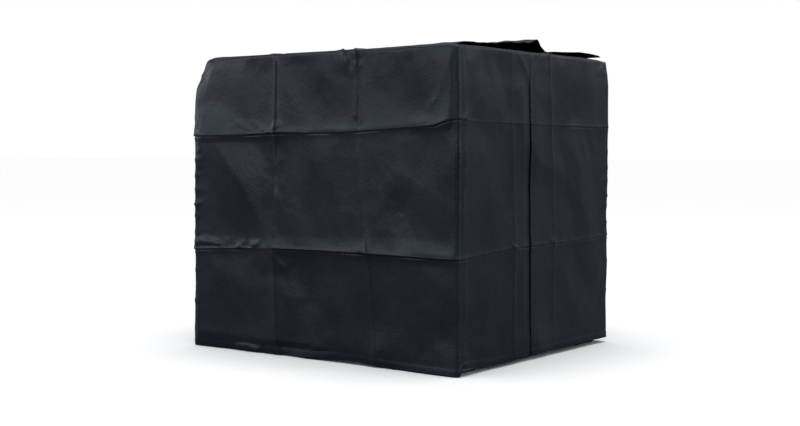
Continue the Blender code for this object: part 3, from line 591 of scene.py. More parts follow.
def corner_bulge(base):
    """The cover stands out past the pallet at its left rear and right front corners."""
    x, y, z = base.T
    push = np.zeros_like(base)
    for sx, sy, out_x, out_y, lost in CORNER_BULGES:
        near = 1 - fade(np.abs(x - sx * HALF_X), 0.0, 0.42)
        near *= 1 - fade(np.abs(y - sy * HALF_Y), 0.0, 0.42)
        near *= 1 - lost * fade(z, TOP_Z - 0.11, TOP_Z)
        push[:, 0] += sx * out_x * MM * near
        push[:, 1] += sy * out_y * MM * near
    return push


def wall_points(wall, a, z, outer=True):
    """Positions of a wall's grid points with all its folds: a along the wall, z up it in its even grid."""
    row_z = z
    a_end = 2 * (HALF_X if wall in ALONG_X else HALF_Y)
    for grid_a, path, *_ in DOWN_FOLDS[wall]:
        grid_a = metres(grid_a)
        line = table([(height, distance) for distance, height in path[::-1]], z)
        a = a + (line - grid_a) * bump_around(a, grid_a, FOLD_REACH) * (1 - fade(z, TOP_Z - 0.03, TOP_Z))
    a = np.clip(a, 0, a_end)
    for row, rows in ((UPPER_ROW, UPPER_FOLD), (LOWER_ROW, LOWER_FOLD)):
        z = z + (table(rows[wall], a) - row) * bump_around(row_z, row, ROW_REACH)
    z = z + table(HEM[wall], a) * (1 - fade(row_z, 0, HEM_REACH))
    base = wall_base(wall, a, z)
    points, out = rounded(base)
    height = crumple(points)
    if wall == "left":
        height *= 1 - 0.85 * bell(a, 0.96, 0.2) * bell(z, 0.62, 0.22)
    tuck = 0.45 * np.clip(0.55 + 2.2 * noise(points, 0.16, 91), 0, 1.2)
    for path, look in zip((UPPER_FOLD[wall], LOWER_FOLD[wall]), ACROSS_FOLDS[wall]):
        height += fold(a, z, path, *look, groove=tuck, crisp=(0.26, 0.5))
    for row in SHORT_FOLDS[wall]:
        height += fold(a, z, *row)
    upright = fade(a, 0, 0.03) * (1 - fade(a, a_end - 0.03, a_end))
    at_edges = 0.3 + 0.7 * upright * (1 - fade(z, TOP_Z - 0.05, TOP_Z))
    for row in FACETS[wall]:
        height += at_edges * facet(a, z, *row)
    for _, *row in DOWN_FOLDS[wall]:
        height += fold(a, z, *row)
    height += MM * (2.5 + 9 * noise(points, 0.21, 41)) * (1 - fade(row_z, 0, 0.14))
    height += MM * 1.1 * (1 - fade(row_z, HEM_DEPTH, HEM_DEPTH + 0.002))
    height += MM * (1.5 - 0.8 * bell(row_z, STITCH_Z, 0.0016))
    height = np.where(height < 0, DEEPEST * np.tanh(height / DEEPEST), height)
    eased = EASE_FROM + EASE_OVER * np.tanh((height - EASE_FROM) / EASE_OVER)
    height = np.where(height > EASE_FROM, eased, height)
    if wall == "front":
        height += lap_offset(base[:, 0], z, outer)
    return points + out * height[:, None] + corner_bulge(base)


def top_points(x, y):
    points, out = rounded(np.stack([x, y, np.full_like(x, TOP_Z)], 1))
    edge = np.minimum(HALF_X - np.abs(x), HALF_Y - np.abs(y))
    height = 0.5 * crumple(points) * (2 - fade(edge, 0.0, 0.06))
    for row in TOP_FOLDS:
        height += fold(x, y, *row)
    sag = np.clip(1 - (x / 0.49) ** 2, 0, 1) * np.clip(1 - (y / 0.59) ** 2, 0, 1)
    height -= MM * 5 * smooth(sag * 1.6)
    low = -1.0 * MM - 9 * MM * smooth(sag * 4)
    return points + out * np.maximum(height, low)[:, None]


def settle(points):
    """Sags the top edges, and slumps the corners where the cage's rounded ones don't hold the cloth."""
    points = points.copy()
    x, y, z = points.T
    rise = np.zeros(len(points))
    for wall, rows in TOP_EDGES.items():
        along, across = (x + HALF_X, y) if wall in ALONG_X else (y + HALF_Y, x)
        rise += table(rows, along) * (1 - fade(np.hypot(across - WALL_AT[wall], z - TOP_Z), 0.004, 0.085))
    points[:, 2] += rise
    for sx, sy, wide, tall, drop, pull in CORNER_SLUMPS:
        off_x, off_y = np.abs(x - sx * HALF_X), np.abs(y - sy * HALF_Y)
        below = ((z - TOP_Z) / tall) ** 2
        along_edge = (np.maximum(off_x, off_y) / wide) ** 2 + (np.minimum(off_x, off_y) / 0.013) ** 2
        diagonal = ((off_x + off_y) / 0.04) ** 2
        near = np.exp(-np.minimum(along_edge, diagonal) - below)
        points -= near[:, None] * [sx * pull, sy * pull, drop]
    return over_rim(points)


def over_rim(points):
    """Lifts the cloth clear of the cage's top tube."""
    past = np.abs(points[:, :2]) - (np.array(RIM[:2]) - RIM_CORNER)
    outside = np.maximum(past, 0)
    away = np.linalg.norm(outside, axis=1)
    plan = away + np.minimum(past.max(axis=1), 0) - RIM_CORNER
    up = points[:, 2] - RIM[2]
    reach = np.hypot(plan, up)
    clear = RIM_RADIUS + 2.0 * MM
    push = np.where((reach < clear) & (up > -6 * MM), clear / np.maximum(reach, 1e-6), 1.0)
    straight = past >= past.max(axis=1)[:, None]
    toward = np.where(away[:, None] > 1e-9, outside / np.maximum(away, 1e-9)[:, None], straight)
    points[:, :2] += np.sign(points[:, :2]) * toward * (plan * (push - 1))[:, None]
    points[:, 2] += up * (push - 1)
    return points


# --- meshes

# Turned-in edges, in millimetres inwards and along from the edge: at the hem, and on a loose sheet.
HEM_TURN = ((1.6, -0.4), (2.4, 3.0), (2.8, 22.0))
LOOSE_TURN = ((0.4, 1.2), (3.0, 1.9), (16.0, 2.2))
TAPE_THICKNESS = 1.0 * MM
TAPE_X = (-0.055, -0.024)  # the front flap's strips: their edges and their ends
TAPE_Z = (0.05, 0.93)
INLET_TAPE_Y = (-0.555, -0.52)  # the top flap's strips: their edges and the ends of each
INLET_LOOP_X = (-0.44, 0.17)
INLET_HOOK_X = (-0.395, 0.06)
SHARED = 4  # grid columns left of the slit that belong to the front's second layer


def add_object(name, data):
    holder = bpy.data.objects.new(name, data)
    bpy.context.scene.collection.objects.link(holder)
    return holder


def mesh_object(name, points, faces, material, normals=None):
    """An object with only the points that its faces use; without normals it is shaded flat."""
    used, faces = np.unique(faces, return_inverse=True)
    mesh = bpy.data.meshes.new(name)
    mesh.from_pydata(points[used].tolist(), [], faces.reshape(-1, 4).tolist())
    if normals is not None:
        mesh.shade_smooth()
        mesh.normals_split_custom_set_from_vertices(normals[used].tolist())
    mesh.materials.append(material)
    return add_object(name, mesh)


class Cloth:
    """Points and faces of several sheets that meet, so that their shading runs on across the seams."""

    def __init__(self):
        self.points = np.zeros((0, 3))
        self.sheets = {}

    def add(self, points):
        """Adds points and returns their numbers."""
        self.points = np.concatenate([self.points, points])
        return np.arange(len(self.points) - len(points), len(self.points))

    def quads(self, sheet, ids, keep=...):
        """Quads of an array of point numbers: its first index runs right, its second up, from outside."""
        quads = np.stack([ids[:-1, :-1], ids[1:, :-1], ids[1:, 1:], ids[:-1, 1:]], -1)[keep]
        self.sheets.setdefault(sheet, []).append(quads.reshape(-1, 4))

    def turn_in(self, sheet, ids, profile, inward, along):
        """The turned-in edge of the cloth: rows of points behind the edge row ids."""
        edge = self.points[ids]
        rows = [self.add(edge + MM * (depth * inward + far * along)) for depth, far in profile]
        self.quads(sheet, np.stack([*rows[::-1], ids], 1))

    def build(self, material):
        """An object of each sheet, with normals shared across the seams."""
        faces = {name: np.concatenate(parts) for name, parts in self.sheets.items()}
        weld = np.unique(np.round(self.points, 6), axis=0, return_inverse=True)[1].ravel()
        normals = np.zeros((weld.max() + 1, 3))
        for quads in faces.values():
            a, b, c, d = (self.points[quads[:, k]] for k in range(4))
            for k in range(4):
                np.add.at(normals, weld[quads[:, k]], np.cross(c - a, d - b))
        normals /= np.maximum(np.linalg.norm(normals, axis=1), 1e-12)[:, None]
        look = material, normals[weld]
        return {name: mesh_object(name, self.points, quads, *look) for name, quads in faces.items()}


def tape(name, left, right, outward, material):
    """A thin closed strip along two rows of points, lying outside them by its thickness."""
    lift = outward * TAPE_THICKNESS
    ids = np.arange(4 * len(left)).reshape(4, -1)
    sides = [np.stack([a[:-1], a[1:], b[1:], b[:-1]], -1) for a, b in zip(ids, np.roll(ids, -1, axis=0))]
    faces = np.concatenate([*sides, [ids[:, 0], ids[::-1, -1]]])
    return mesh_object(name, np.concatenate([left, right, right + lift, left + lift]), faces, material)


def grid_lines():
    """The cover's grid lines, finer at the corners, the seams and the rows of folds."""
    corner = 0.026, CORNER_STEP
    x = spaced(-HALF_X, HALF_X, 0.01,
               [(-HALF_X, *corner), (HALF_X, *corner), (-0.045, 0.022, 0.0042), (-0.18, 0.012, 0.0045),
                (0.082, 0.014, 0.0045), (-0.483, 0.012, 0.0045)],
               [-0.483, -0.18, HATCH_X[0], SLIT_X - 0.004, SLIT_X, SLIT_X + 0.005, SLIT_X + 0.013, TAPE_X[1],
                UNDERLAP_X, 0.082, HATCH_X[1]])
    y = spaced(-HALF_Y, HALF_Y, 0.0098,
               [(-HALF_Y, *corner), (HALF_Y, *corner), (0.226, 0.014, 0.0045), (-0.172, 0.016, 0.0045),
                (0.053, 0.008, 0.005)],
               [*INLET_TAPE_Y, -0.172, HATCH_Y[0], 0.053, HATCH_Y[1], 0.226])
    z = spaced(0, TOP_Z, 0.0102,
               [(0.0, 0.03, 0.004), (UPPER_ROW, 0.013, 0.0024), (LOWER_ROW, 0.013, 0.0024),
                (TOP_Z, 0.012, CORNER_STEP)],
               [STITCH_Z - 0.002, STITCH_Z, STITCH_Z + 0.002, HEM_DEPTH, HEM_DEPTH + 0.002, LOWER_ROW,
                UPPER_ROW])
    return x, y, z


def make_cover(materials):
    """The creased cover, its front flap, and the hook and loop strips on them."""
    x_lines, y_lines, z_lines = grid_lines()
    nx, ny = len(x_lines) - 1, len(y_lines) - 1
    wall_lines = {
        "front": x_lines[:-1] + HALF_X,
        "right": y_lines[:-1] + HALF_Y,
        "rear": x_lines[:0:-1] + HALF_X,
        "left": y_lines[:0:-1] + HALF_Y,
    }
    cloth = Cloth()

    def add_wall(wall, a_lines, outer=True):
        a, z = np.meshgrid(a_lines, z_lines, indexing="ij")
        return cloth.add(settle(wall_points(wall, a.ravel(), z.ravel(), outer))).reshape(a.shape)

    loop = np.concatenate([add_wall(wall, lines) for wall, lines in wall_lines.items()])
    loop = np.concatenate([loop, loop[:1]])
    slit, lap = index_of(x_lines, SLIT_X, UNDERLAP_X)
    top_row = int(np.searchsorted(z_lines, SLIT_TOP_Z - 0.012))

    # Right of the slit the front is a sheet of its own. The layer behind it runs on to the underlap's edge.
    under = add_wall("front", wall_lines["front"][slit - SHARED : lap + 1], outer=False)
    left_part = np.concatenate([loop[: slit - SHARED], under[: SHARED + 1]])
    cloth.quads("front_flap_sheet", loop[slit : nx + 1])
    cloth.quads("cover_sheet", loop[nx:])
    cloth.quads("cover_sheet", left_part)
    cloth.quads("cover_sheet", under[SHARED:, : top_row + 1])

    # The top, with the hatch cut out of it.
    inner_x, inner_y = np.meshgrid(x_lines[1:-1], y_lines[1:-1], indexing="ij")
    top = np.zeros((nx + 1, ny + 1), np.int64)
    top[1:-1, 1:-1] = cloth.add(settle(top_points(inner_x.ravel(), inner_y.ravel()))).reshape(inner_x.shape)
    rim = loop[:, -1]
    top[:, 0] = rim[: nx + 1]
    top[nx, :] = rim[nx : nx + ny + 1]
    top[::-1, ny] = rim[nx + ny : 2 * nx + ny + 1]
    top[0, ::-1] = rim[2 * nx + ny :]
    keep = np.ones((nx, ny), bool)
    keep[slice(*index_of(x_lines, *HATCH_X)), slice(*index_of(y_lines, *HATCH_Y))] = False
    cloth.quads("cover_sheet", top, keep)

    # Turned-in edges: the hem all round, and the flap's free edge.
    bottom = loop[:, 0]
    inward = -rounded(cloth.points[bottom])[1]
    cloth.turn_in("cover_sheet", bottom[nx:], HEM_TURN, inward[nx:], UP)
    cloth.turn_in("cover_sheet", left_part[:, 0], HEM_TURN, BACK, UP)
    cloth.turn_in("front_flap_sheet", bottom[slit : nx + 1], HEM_TURN, inward[slit : nx + 1], UP)
    cloth.turn_in("front_flap_sheet", loop[slit, top_row::-1], HEM_TURN, BACK, 0.5 * RIGHT)
    pieces = cloth.build(materials["cover_fabric"])

    # Hook and loop strips, each along two rows of the cloth, facing outward with a gap.
    rows = slice(*np.searchsorted(z_lines, TAPE_Z))
    left, right = index_of(x_lines, *TAPE_X)
    columns = slice(*index_of(x_lines, *INLET_LOOP_X))
    front, rear = index_of(y_lines, *INLET_TAPE_Y)
    shift = SHARED - slit
    for name, one, other, outward, gap in (
        ("flap_loop_tape", under[right + shift, rows], under[left + shift, rows], -BACK, 0.3),
        ("flap_hook_tape", loop[left, rows], loop[right, rows], BACK, 3.3),
        ("inlet_loop_tape", top[columns, rear], top[columns, front], UP, 0.3),
    ):
        edges = [cloth.points[ids] + outward * gap * MM for ids in (one, other)]
        pieces[name] = tape(name, *edges, outward, materials["hook_and_loop"])
    return pieces


# --- top pieces

INLET_X = (-0.47, 0.206)
INLET_Y = (-0.57, 0.262)
INLET_HINGE_Y = 0.235
INLET_Z = 1.1395
# Height of the flap's front edge over x: low at its left, a curled tip near its right, then down to the top.
INLET_FRONT = [(-470, 1139.5), (-452, 1141.5), (-430, 1148), (-400, 1152), (-300, 1157), (-60, 1170),
               (30, 1176), (54, 1183), (70, 1191), (78, 1189), (98, 1170), (142, 1149), (206, 1140)]
LAP_X = (0.135, 0.514)
LAP_Y = (-0.585, -0.3)
LAP_Z = 1.14
LAP_FRONT = [(135, 1145.5), (180, 1149), (260, 1152.5), (350, 1155.5), (440, 1154.5), (500, 1150),
             (514, 1144)]


def loose_sheet(name, x, y, height, shift_y, turns, material):
    """A sheet over lines in x and y with turned-in edges (side, direction, drop), and its grid's points."""
    xs, ys = np.meshgrid(x, y, indexing="ij")
    points = np.stack([xs.ravel(), ys.ravel(), height(xs.ravel(), ys.ravel())], 1)
    points[:, 1] += shift_y(points)
    cloth = Cloth()
    ids = cloth.add(points).reshape(xs.shape)
    cloth.quads(name, ids)
    edges = {"front": ids[:, 0], "right": ids[-1], "left": ids[0, ::-1]}
    for side, inward, drop in turns:
        cloth.turn_in(name, edges[side], LOOSE_TURN, inward, -drop * UP)
    return cloth.build(material)[name], points[ids]


def make_inlet_flap(materials):
    x = spaced(*INLET_X, 0.011, [(-0.43, 0.03, 0.004), (0.09, 0.05, 0.0045)])
    y = spaced(*INLET_Y, 0.012, [(INLET_Y[0], 0.05, 0.005), (INLET_HINGE_Y, 0.03, 0.006)], INLET_TAPE_Y)

    def height(xs, ys):
        flat = np.stack([xs, ys, np.zeros_like(xs)], 1)
        open_share = 1 - smooth((ys - INLET_Y[0]) / (INLET_HINGE_Y - INLET_Y[0]))
        sewn = fade(ys, INLET_HINGE_Y - 0.04, INLET_Y[1] - 0.01)
        out = INLET_Z + (table(INLET_FRONT, xs) - INLET_Z) * open_share**0.8 - 9 * MM * sewn
        loose = fade(xs, INLET_X[0], -0.38) * (1 - fade(xs, 0.06, 0.15))
        loose *= 1 - fade(ys, 0.12, INLET_HINGE_Y)
        slack = MM * (7 * noise(flat, 0.22, 51) + 3 * (0.4 - np.abs(noise(flat, 0.07, 57)) * 3))
        slack += fold(xs, ys, [(-180, -560), (-150, 240)], [2, 3, 2], 30, 30)
        slack += fold(xs, ys, [(85, -560), (60, -300), (20, 0)], [0, 5, 0], 50, 40)
        return out + slack * loose

    def shift_y(points):
        front = 1 - fade(points[:, 1], INLET_Y[0], INLET_Y[0] + 0.05)
        return MM * front * (8 * noise(points, 0.18, 63) - 6 * bell(points[:, 0], 0.08, 0.03))

    turns = (("front", BACK, 1), ("right", -RIGHT, 0.4), ("left", RIGHT, 0.4))
    flap, grid = loose_sheet("inlet_flap_sheet", x, y, height, shift_y, turns, materials["cover_fabric"])
    columns = slice(*index_of(x, *INLET_HOOK_X))
    front, rear = (grid[columns, k] - 3.0 * MM * UP for k in index_of(y, *INLET_TAPE_Y))
    return flap, tape("inlet_hook_tape", rear, front, -UP, materials["hook_and_loop"])


def make_top_lap(materials):
    """The loose edge of the top's second layer, to the right of the filling flap."""
    x = spaced(*LAP_X, 0.01, [(LAP_X[0], 0.02, 0.005)])
    y = spaced(*LAP_Y, 0.01, [(LAP_Y[0], 0.03, 0.004)])

    def height(xs, ys):
        flat = np.stack([xs, ys, np.zeros_like(xs)], 1)
        front = table(LAP_FRONT, xs)
        back = LAP_Z - 8 * MM * fade(ys, -0.345, -0.305)
        share = (ys - LAP_Y[0]) / (LAP_Y[1] - LAP_Y[0])
        return front + share * (back - front) + MM * 4 * noise(flat, 0.1, 71) * bell(ys, -0.5, 0.12)

    def shift_y(points):
        return -0.02 * fade(points[:, 0], 0.2, 0.46) * (1 - fade(points[:, 1], LAP_Y[0], -0.42))

    turns = (("front", 0.25 * BACK, 0.5),)
    return loose_sheet("top_lap_sheet", x, y, height, shift_y, turns, materials["cover_fabric"])[0]


# --- materials

METALS = {  # dark and light colour, lowest and highest roughness, spangles in a metre
    "galvanised_steel": ((0.42, 0.43, 0.44), (0.6, 0.61, 0.62), 0.3, 0.52, 90),
    "zinc_screw": ((0.5, 0.5, 0.47), (0.66, 0.65, 0.6), 0.22, 0.4, 300),
    "pallet_deck_steel": ((0.3, 0.31, 0.32), (0.46, 0.47, 0.48), 0.36, 0.6, 60),
}
PLASTICS = {  # dark and light colour, lowest and highest roughness, fineness of the grain
    "pallet_foot_plastic": ((0.016, 0.016, 0.017), (0.034, 0.034, 0.036), 0.42, 0.66, 500),
    "red_polypropylene": ((0.42, 0.012, 0.01), (0.56, 0.022, 0.016), 0.3, 0.5, 700),
    "black_polypropylene": ((0.01, 0.01, 0.011), (0.022, 0.022, 0.024), 0.3, 0.52, 700),
    "seal_rubber": ((0.008, 0.008, 0.008), (0.018, 0.017, 0.016), 0.62, 0.82, 900),
}
FABRIC_DARK = (0.0054, 0.0078, 0.0168)
FABRIC_LIGHT = (0.011, 0.0146, 0.0275)
# The inner face: the cloth's dark inner side, made near black so that it also paints the shade under the raised flap
# edges.
FABRIC_INNER_AND_SHADE = (0.003, 0.0031, 0.0035)
WEAVE = 190.0  # waves in a metre


def feed(tree, socket, value):
    """Links a socket from another node's output, or sets it to a constant; a colour has three numbers."""
    if isinstance(value, bpy.types.NodeSocket):
        tree.links.new(value, socket)
    else:
        socket.default_value = (*value, 1) if socket.type == "RGBA" else value


def add_node(tree, kind, inputs=None, **settings):
    """Adds a node with its settings and inputs, and returns its outputs."""
    node = tree.nodes.new("ShaderNode" + kind)
    for key, value in settings.items():
        setattr(node, key, value)
    for key, value in (inputs or {}).items():
        feed(tree, node.inputs[key], value)
    return node.outputs


class Graph:
    """Short calls for building a material's nodes."""

    def __init__(self, name):
        self.material = bpy.data.materials.new(name)
        self.material.use_nodes = True
        self.tree = self.material.node_tree
        self.place = self.add("TexCoord")["Object"]

    def add(self, kind, inputs=None, **settings):
        return add_node(self.tree, kind, inputs, **settings)

    def noise(self, scale, detail, rough=0.5, distortion=0.0, squeeze=None):
        place = self.place
        if squeeze:
            place = self.add("Mapping", {"Vector": place, "Scale": squeeze})["Vector"]
        inputs = {"Scale": scale, "Detail": detail, "Roughness": rough, "Distortion": distortion}
        return self.add("TexNoise", {"Vector": place, **inputs})["Fac"]

    def cells(self, scale, output="Distance"):
        return self.add("TexVoronoi", {"Vector": self.place, "Scale": scale})[output]

    def wave(self, direction, scale):
        inputs = {"Vector": self.place, "Scale": scale}
        return self.add("TexWave", inputs, bands_direction=direction)["Fac"]

    def math(self, kind, a, b):
        return self.add("Math", {0: a, 1: b}, operation=kind)[0]

    def sum(self, a, b, share_a=1.0, share_b=1.0):
        """Both values added, each times its share."""
        pairs = ((a, share_a), (b, share_b))
        return self.math("ADD", *(v if k == 1 else self.math("MULTIPLY", v, k) for v, k in pairs))

    def ramp(self, value, low, high, out_low=0.0, out_high=1.0):
        inputs = {"Value": value, "From Min": low, "From Max": high, "To Min": out_low, "To Max": out_high}
        return self.add("MapRange", inputs)["Result"]

    def mix(self, factor, a, b):
        return self.add("Mix", {0: factor, 6: a, 7: b}, data_type="RGBA")[2]

    def bump(self, height, strength, distance, under=None):
        inputs = {"Height": height, "Strength": strength, "Distance": distance}
        return self.add("Bump", inputs | ({"Normal": under} if under else {}))["Normal"]

    def finish(self, colour, rough, **others):
        shader = self.tree.nodes["Principled BSDF"]
        for key, value in {"Base Color": colour, "Roughness": rough, **others}.items():
            feed(self.tree, shader.inputs[key.replace("_", " ")], value)
        return self.material


def shade(colour, factor, lift=0.0):
    return tuple(min(1, factor * v + lift) for v in colour)


def fabric_material(name):
    """Coated polyester: a fine plain weave, small crush creases, patchy gloss, and a near-black inner face that is the
    cloth's dark inner side and also painted shade under the raised flap edges.
    """
    g = Graph(name)
    patches = g.noise(3.2, 4, 0.6)
    clouds = g.noise(14, 3, 0.55)
    dusty = g.ramp(g.noise(46, 4, 0.7), 0.5, 0.8, 0.0, 0.35)
    colour = g.mix(g.ramp(patches, 0.35, 0.68), FABRIC_DARK, FABRIC_LIGHT)
    colour = g.mix(dusty, colour, shade(FABRIC_LIGHT, 1.35))
    geometry = g.add("NewGeometry")
    # Back faces take the near-black inner colour: the cloth's dark inner side plus painted shade under the raised flap
    # edges.
    colour = g.mix(geometry["Backfacing"], colour, FABRIC_INNER_AND_SHADE)
    upward = g.add("SeparateXYZ", {0: geometry["Normal"]})["Z"]
    rough = g.ramp(g.sum(patches, clouds, 0.6, 0.4), 0.38, 0.62, 0.28, 0.42)
    rough = g.sum(rough, g.ramp(upward, 0.75, 0.98, 0.0, 0.2))
    rough = g.math("MAXIMUM", rough, g.math("MULTIPLY", geometry["Backfacing"], 0.9))
    weave = g.sum(g.sum(g.wave("X", WEAVE), g.wave("Y", WEAVE)), g.wave("Z", WEAVE))
    crush = g.noise(75, 4, 0.6, 0.3)
    crease = g.noise(30, 5, 0.62, 0.6)
    normal = g.bump(weave, 0.05, 0.0004)
    normal = g.bump(crease, 0.26, 0.004, normal)
    normal = g.bump(crush, 0.24, 0.0014, normal)
    return g.finish(colour, rough, Normal=normal, Specular_IOR_Level=0.3)


def tape_material(name):
    g = Graph(name)
    tufts = g.noise(160, 4, 0.7)
    colour = g.mix(g.ramp(tufts, 0.35, 0.7), (0.008, 0.009, 0.012), (0.03, 0.032, 0.04))
    normal = g.bump(g.sum(g.cells(620), tufts), 0.8, 0.0012)
    return g.finish(colour, 0.92, Normal=normal, Specular_IOR_Level=0.08)


def metal_material(name, dark, light, rough_low, rough_high, spangle):
    g = Graph(name)
    flakes = g.add("RGBToBW", {0: g.cells(spangle, "Color")})[0]
    stains = g.noise(9.0, 5, 0.6)
    scratches = g.noise(60, 4, 0.6, squeeze=(0.15, 0.15, 2.0))
    colour = g.mix(g.ramp(flakes, 0.2, 0.8), dark, light)
    colour = g.mix(g.ramp(stains, 0.52, 0.75, 0, 0.5), colour, shade(dark, 0.55))
    rough = g.ramp(g.sum(flakes, scratches, 0.5, 0.5), 0.25, 0.75, rough_low, rough_high)
    normal = g.bump(flakes, 0.1, 0.0006)
    normal = g.bump(scratches, 0.12, 0.0006, normal)
    return g.finish(colour, rough, Normal=normal, Metallic=1.0)


def plastic_material(name, dark, light, rough_low, rough_high, grain):
    g = Graph(name)
    clouds = g.noise(7.0, 4, 0.6)
    scuffs = g.noise(38, 6, 0.7, 0.4)
    colour = g.mix(g.ramp(clouds, 0.35, 0.65), dark, light)
    colour = g.mix(g.ramp(scuffs, 0.58, 0.72, 0, 0.35), colour, shade(light, 1.25, 0.02))
    rough = g.ramp(scuffs, 0.35, 0.7, rough_low, rough_high)
    normal = g.bump(g.noise(grain, 2, 0.6), 0.22, 0.0004)
    normal = g.bump(clouds, 0.15, 0.004, normal)
    return g.finish(colour, rough, Normal=normal)


def bottle_material(name):
    """Natural polyethylene: milky, slightly yellow, with the fine flow marks of blow moulding."""
    g = Graph(name)
    clouds = g.noise(4.0, 4, 0.6)
    flow = g.noise(26, 3, 0.5, squeeze=(1.0, 1.0, 0.18))
    colour = g.mix(g.ramp(clouds, 0.3, 0.7), (0.66, 0.67, 0.63), (0.78, 0.78, 0.74))
    dirt = g.ramp(g.noise(12, 6, 0.7), 0.58, 0.8, 0, 0.5)
    colour = g.mix(dirt, colour, (0.46, 0.45, 0.4))
    rough = g.ramp(flow, 0.3, 0.7, 0.34, 0.48)
    normal = g.bump(flow, 0.25, 0.003)
    normal = g.bump(g.noise(420, 2), 0.12, 0.0004, normal)
    return g.finish(colour, rough, Normal=normal, Subsurface_Weight=0.25, Subsurface_Scale=0.01)


def label_material(name):
    g = Graph(name)
    stains = g.noise(11, 5, 0.6)
    brushed = g.noise(80, 3, 0.6, squeeze=(0.05, 0.05, 3.0))
    colour = g.mix(g.ramp(stains, 0.45, 0.75), (0.62, 0.63, 0.64), (0.44, 0.45, 0.46))
    rough = g.ramp(brushed, 0.3, 0.7, 0.3, 0.46)
    return g.finish(colour, rough, Normal=g.bump(brushed, 0.15, 0.0006), Metallic=0.65)


def make_materials():
    made = {
        "cover_fabric": fabric_material("cover_fabric"),
        "hook_and_loop": tape_material("hook_and_loop"),
        "bottle_polyethylene": bottle_material("bottle_polyethylene"),
        "label_plate": label_material("label_plate"),
    }
    made.update((name, metal_material(name, *look)) for name, look in METALS.items())
    made.update((name, plastic_material(name, *look)) for name, look in PLASTICS.items())
    return made


# --- stage

CAMERA_AT = (-4.2073, -3.1429, 0.7946)
CAMERA_AZIMUTH = -53.12
CAMERA_PITCH = -2.964
CAMERA_LENS = 59.27
LIGHT_COLOUR = (0.82, 0.91, 1.0)
SOFT_LIGHTS = (  # name, place, height it aims at, size, watts
    ("key_left", (-6.1, 4.3, 3.3), 0.7, (8.5, 1.9), 112),
    ("low_left", (-6.9, 2.8, 1.75), 0.6, (1.8, 1.1), 18),
    ("rim_left", (-2.0, 6.6, 1.9), 0.6, (2.2, 2.4), 32),
    ("key_front", (6.2, -4.2, 3.6), 0.6, (3.3, 2.0), 30),
    ("strip_front", (1.6, -6.8, 2.2), 0.6, (1.2, 2.8), 70),
    ("fill", (-4.2, -5.6, 4.0), 0.6, (3.2, 2.6), 50),
)


def aim(holder, place, direction):
    holder.location = place
    holder.rotation_euler = direction.to_track_quat("-Z", "Y").to_euler()


def make_camera():
    camera = bpy.data.cameras.new("camera")
    camera.sensor_width = 36
    camera.lens = CAMERA_LENS
    camera.clip_end = 100
    azimuth, pitch = math.radians(CAMERA_AZIMUTH), math.radians(CAMERA_PITCH)
    forward = Vector((-math.sin(azimuth), math.cos(azimuth), math.tan(pitch)))
    holder = add_object("camera", camera)
    aim(holder, CAMERA_AT, forward)
    bpy.context.scene.camera = holder


def soft_light(name, place, target_z, size, watts):
    light = bpy.data.lights.new(name, "AREA")
    light.shape = "RECTANGLE"
    light.size, light.size_y = size
    light.energy = watts
    light.color = LIGHT_COLOUR
    holder = add_object(name, light)
    aim(holder, place, Vector((0, 0, target_z)) - Vector(place))
    holder.visible_camera = False


def by_ray(tree, camera_value, other_value):
    """A grey that camera rays see as one value and light bouncing onto the object as another."""
    camera_ray = add_node(tree, "LightPath")["Is Camera Ray"]
    greys = {6: (other_value,) * 3, 7: (camera_value,) * 3}
    return add_node(tree, "Mix", {0: camera_ray, **greys}, data_type="RGBA")[2]


def make_stage():
    mesh = bpy.data.meshes.new("floor")
    mesh.from_pydata([(-60, -60, 0), (60, -60, 0), (60, 60, 0), (-60, 60, 0)], [], [(0, 1, 2, 3)])
    g = Graph("floor")
    mesh.materials.append(g.finish(by_ray(g.tree, 0.92, 0.17), 0.9, Specular_IOR_Level=0.0))
    floor = add_object("floor", mesh)
    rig.stage(floor)
    world = bpy.data.worlds.new("world")
    world.use_nodes = True
    bpy.context.scene.world = world
    background = world.node_tree.nodes["Background"]
    feed(world.node_tree, background.inputs["Color"], by_ray(world.node_tree, 1.0, 0.33))
    for light in SOFT_LIGHTS:
        soft_light(*light)
    sun = bpy.data.lights.new("overhead", "SUN")
    sun.energy = 2.3
    sun.angle = math.radians(50)
    add_object("overhead", sun)
    bpy.context.scene.view_settings.view_transform = "Standard"


# --- assembly


def finish_cad_nodes(materials):
    """Gives every carried-over solid its finish, by the record's material slot."""
    slots = {part["node"]: part["material_slot"] for part in frame["record"]["subparts"]}
    for name, piece in frame["nodes"].items():
        material = materials.get(slots.get(name, ""))
        if material:
            piece.data.materials.clear()
            piece.data.materials.append(material)


def flap_line():
    """Two points across the front flap's fold line: on it, and 40 mm into the flap."""
    along = Vector((FLAP_FOOT[0] - SLIT_X, 0, FLAP_FOOT[1] - SLIT_TOP_Z)).normalized()
    into = Vector((along.z, 0, -along.x))
    middle = Vector(((SLIT_X + FLAP_FOOT[0]) / 2, -HALF_Y, (SLIT_TOP_Z + FLAP_FOOT[1]) / 2))
    return middle, middle + 0.040 * into


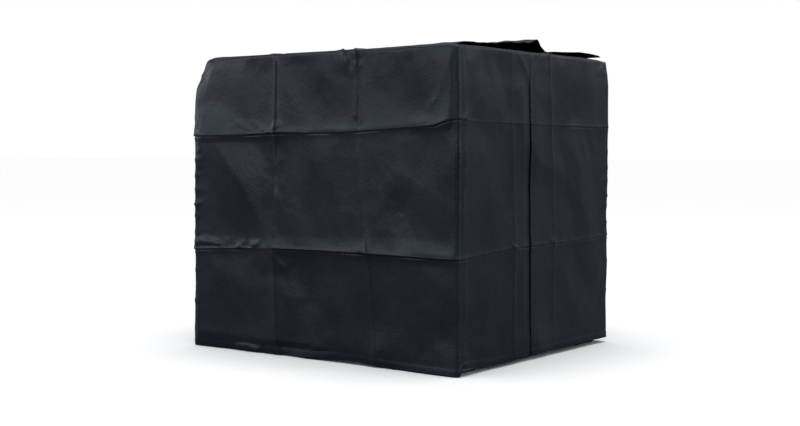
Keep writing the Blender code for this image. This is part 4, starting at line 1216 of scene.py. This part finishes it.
def main():
    materials = make_materials()
    finish_cad_nodes(materials)
    pieces = make_cover(materials)
    cover, flap = pieces["cover_sheet"], pieces["front_flap_sheet"]
    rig.ride(cover, "cover")
    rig.replaces(cover, "cover_left_panel", "cover_right_panel", "cover_rear_panel", "cover_front_panel",
                "cover_top_panel")
    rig.slot(cover, "cover_fabric")
    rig.sheet(cover, flat=(3.53, 3.29), held="draped", rests_on=["cage_left_grid", "cage_right_grid"],
             area=5.9)
    start, end = flap_line()
    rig.blend(flap, "cover", "front_flap", start=start, end=end)
    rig.replaces(flap, "front_flap")
    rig.slot(flap, "cover_fabric")
    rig.sheet(flap, flat=(0.60, 1.16), held="hung", rests_on=["cover_sheet"])
    for name, body, node in (("flap_loop_tape", "cover", "flap_loop_strip"),
                             ("inlet_loop_tape", "cover", "inlet_loop_strip"),
                             ("flap_hook_tape", "front_flap", "flap_hook_strip")):
        if body == "front_flap":
            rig.blend(pieces[name], "cover", "front_flap", start=start, end=end)
        else:
            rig.ride(pieces[name], body)
        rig.replaces(pieces[name], node)
        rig.slot(pieces[name], "hook_and_loop")
    inlet, inlet_tape = make_inlet_flap(materials)
    hinge, past = Vector((0, INLET_HINGE_Y + 0.010, 1.14)), Vector((0, INLET_HINGE_Y - 0.055, 1.14))
    for piece, node, slot in ((inlet, "inlet_flap", "cover_fabric"),
                              (inlet_tape, "inlet_hook_strip", "hook_and_loop")):
        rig.blend(piece, "cover", "inlet_flap", start=hinge, end=past)
        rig.replaces(piece, node)
        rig.slot(piece, slot)
    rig.sheet(inlet, flat=(0.70, 0.87), held="laid", rests_on=["cover_sheet"])
    top_lap = make_top_lap(materials)
    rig.ride(top_lap, "cover")
    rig.slot(top_lap, "cover_fabric")
    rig.sheet(top_lap, flat=(0.38, 0.29), held="laid", rests_on=["cover_sheet"])
    make_stage()
    make_camera()


main()
visual_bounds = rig.bounds()
with open("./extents.json", "w") as sizes:
    plain = lambda box: [[float(v) for v in corner] for corner in box]
    json.dump({"cad": plain(cad_bounds), "visual": plain(visual_bounds)}, sizes)
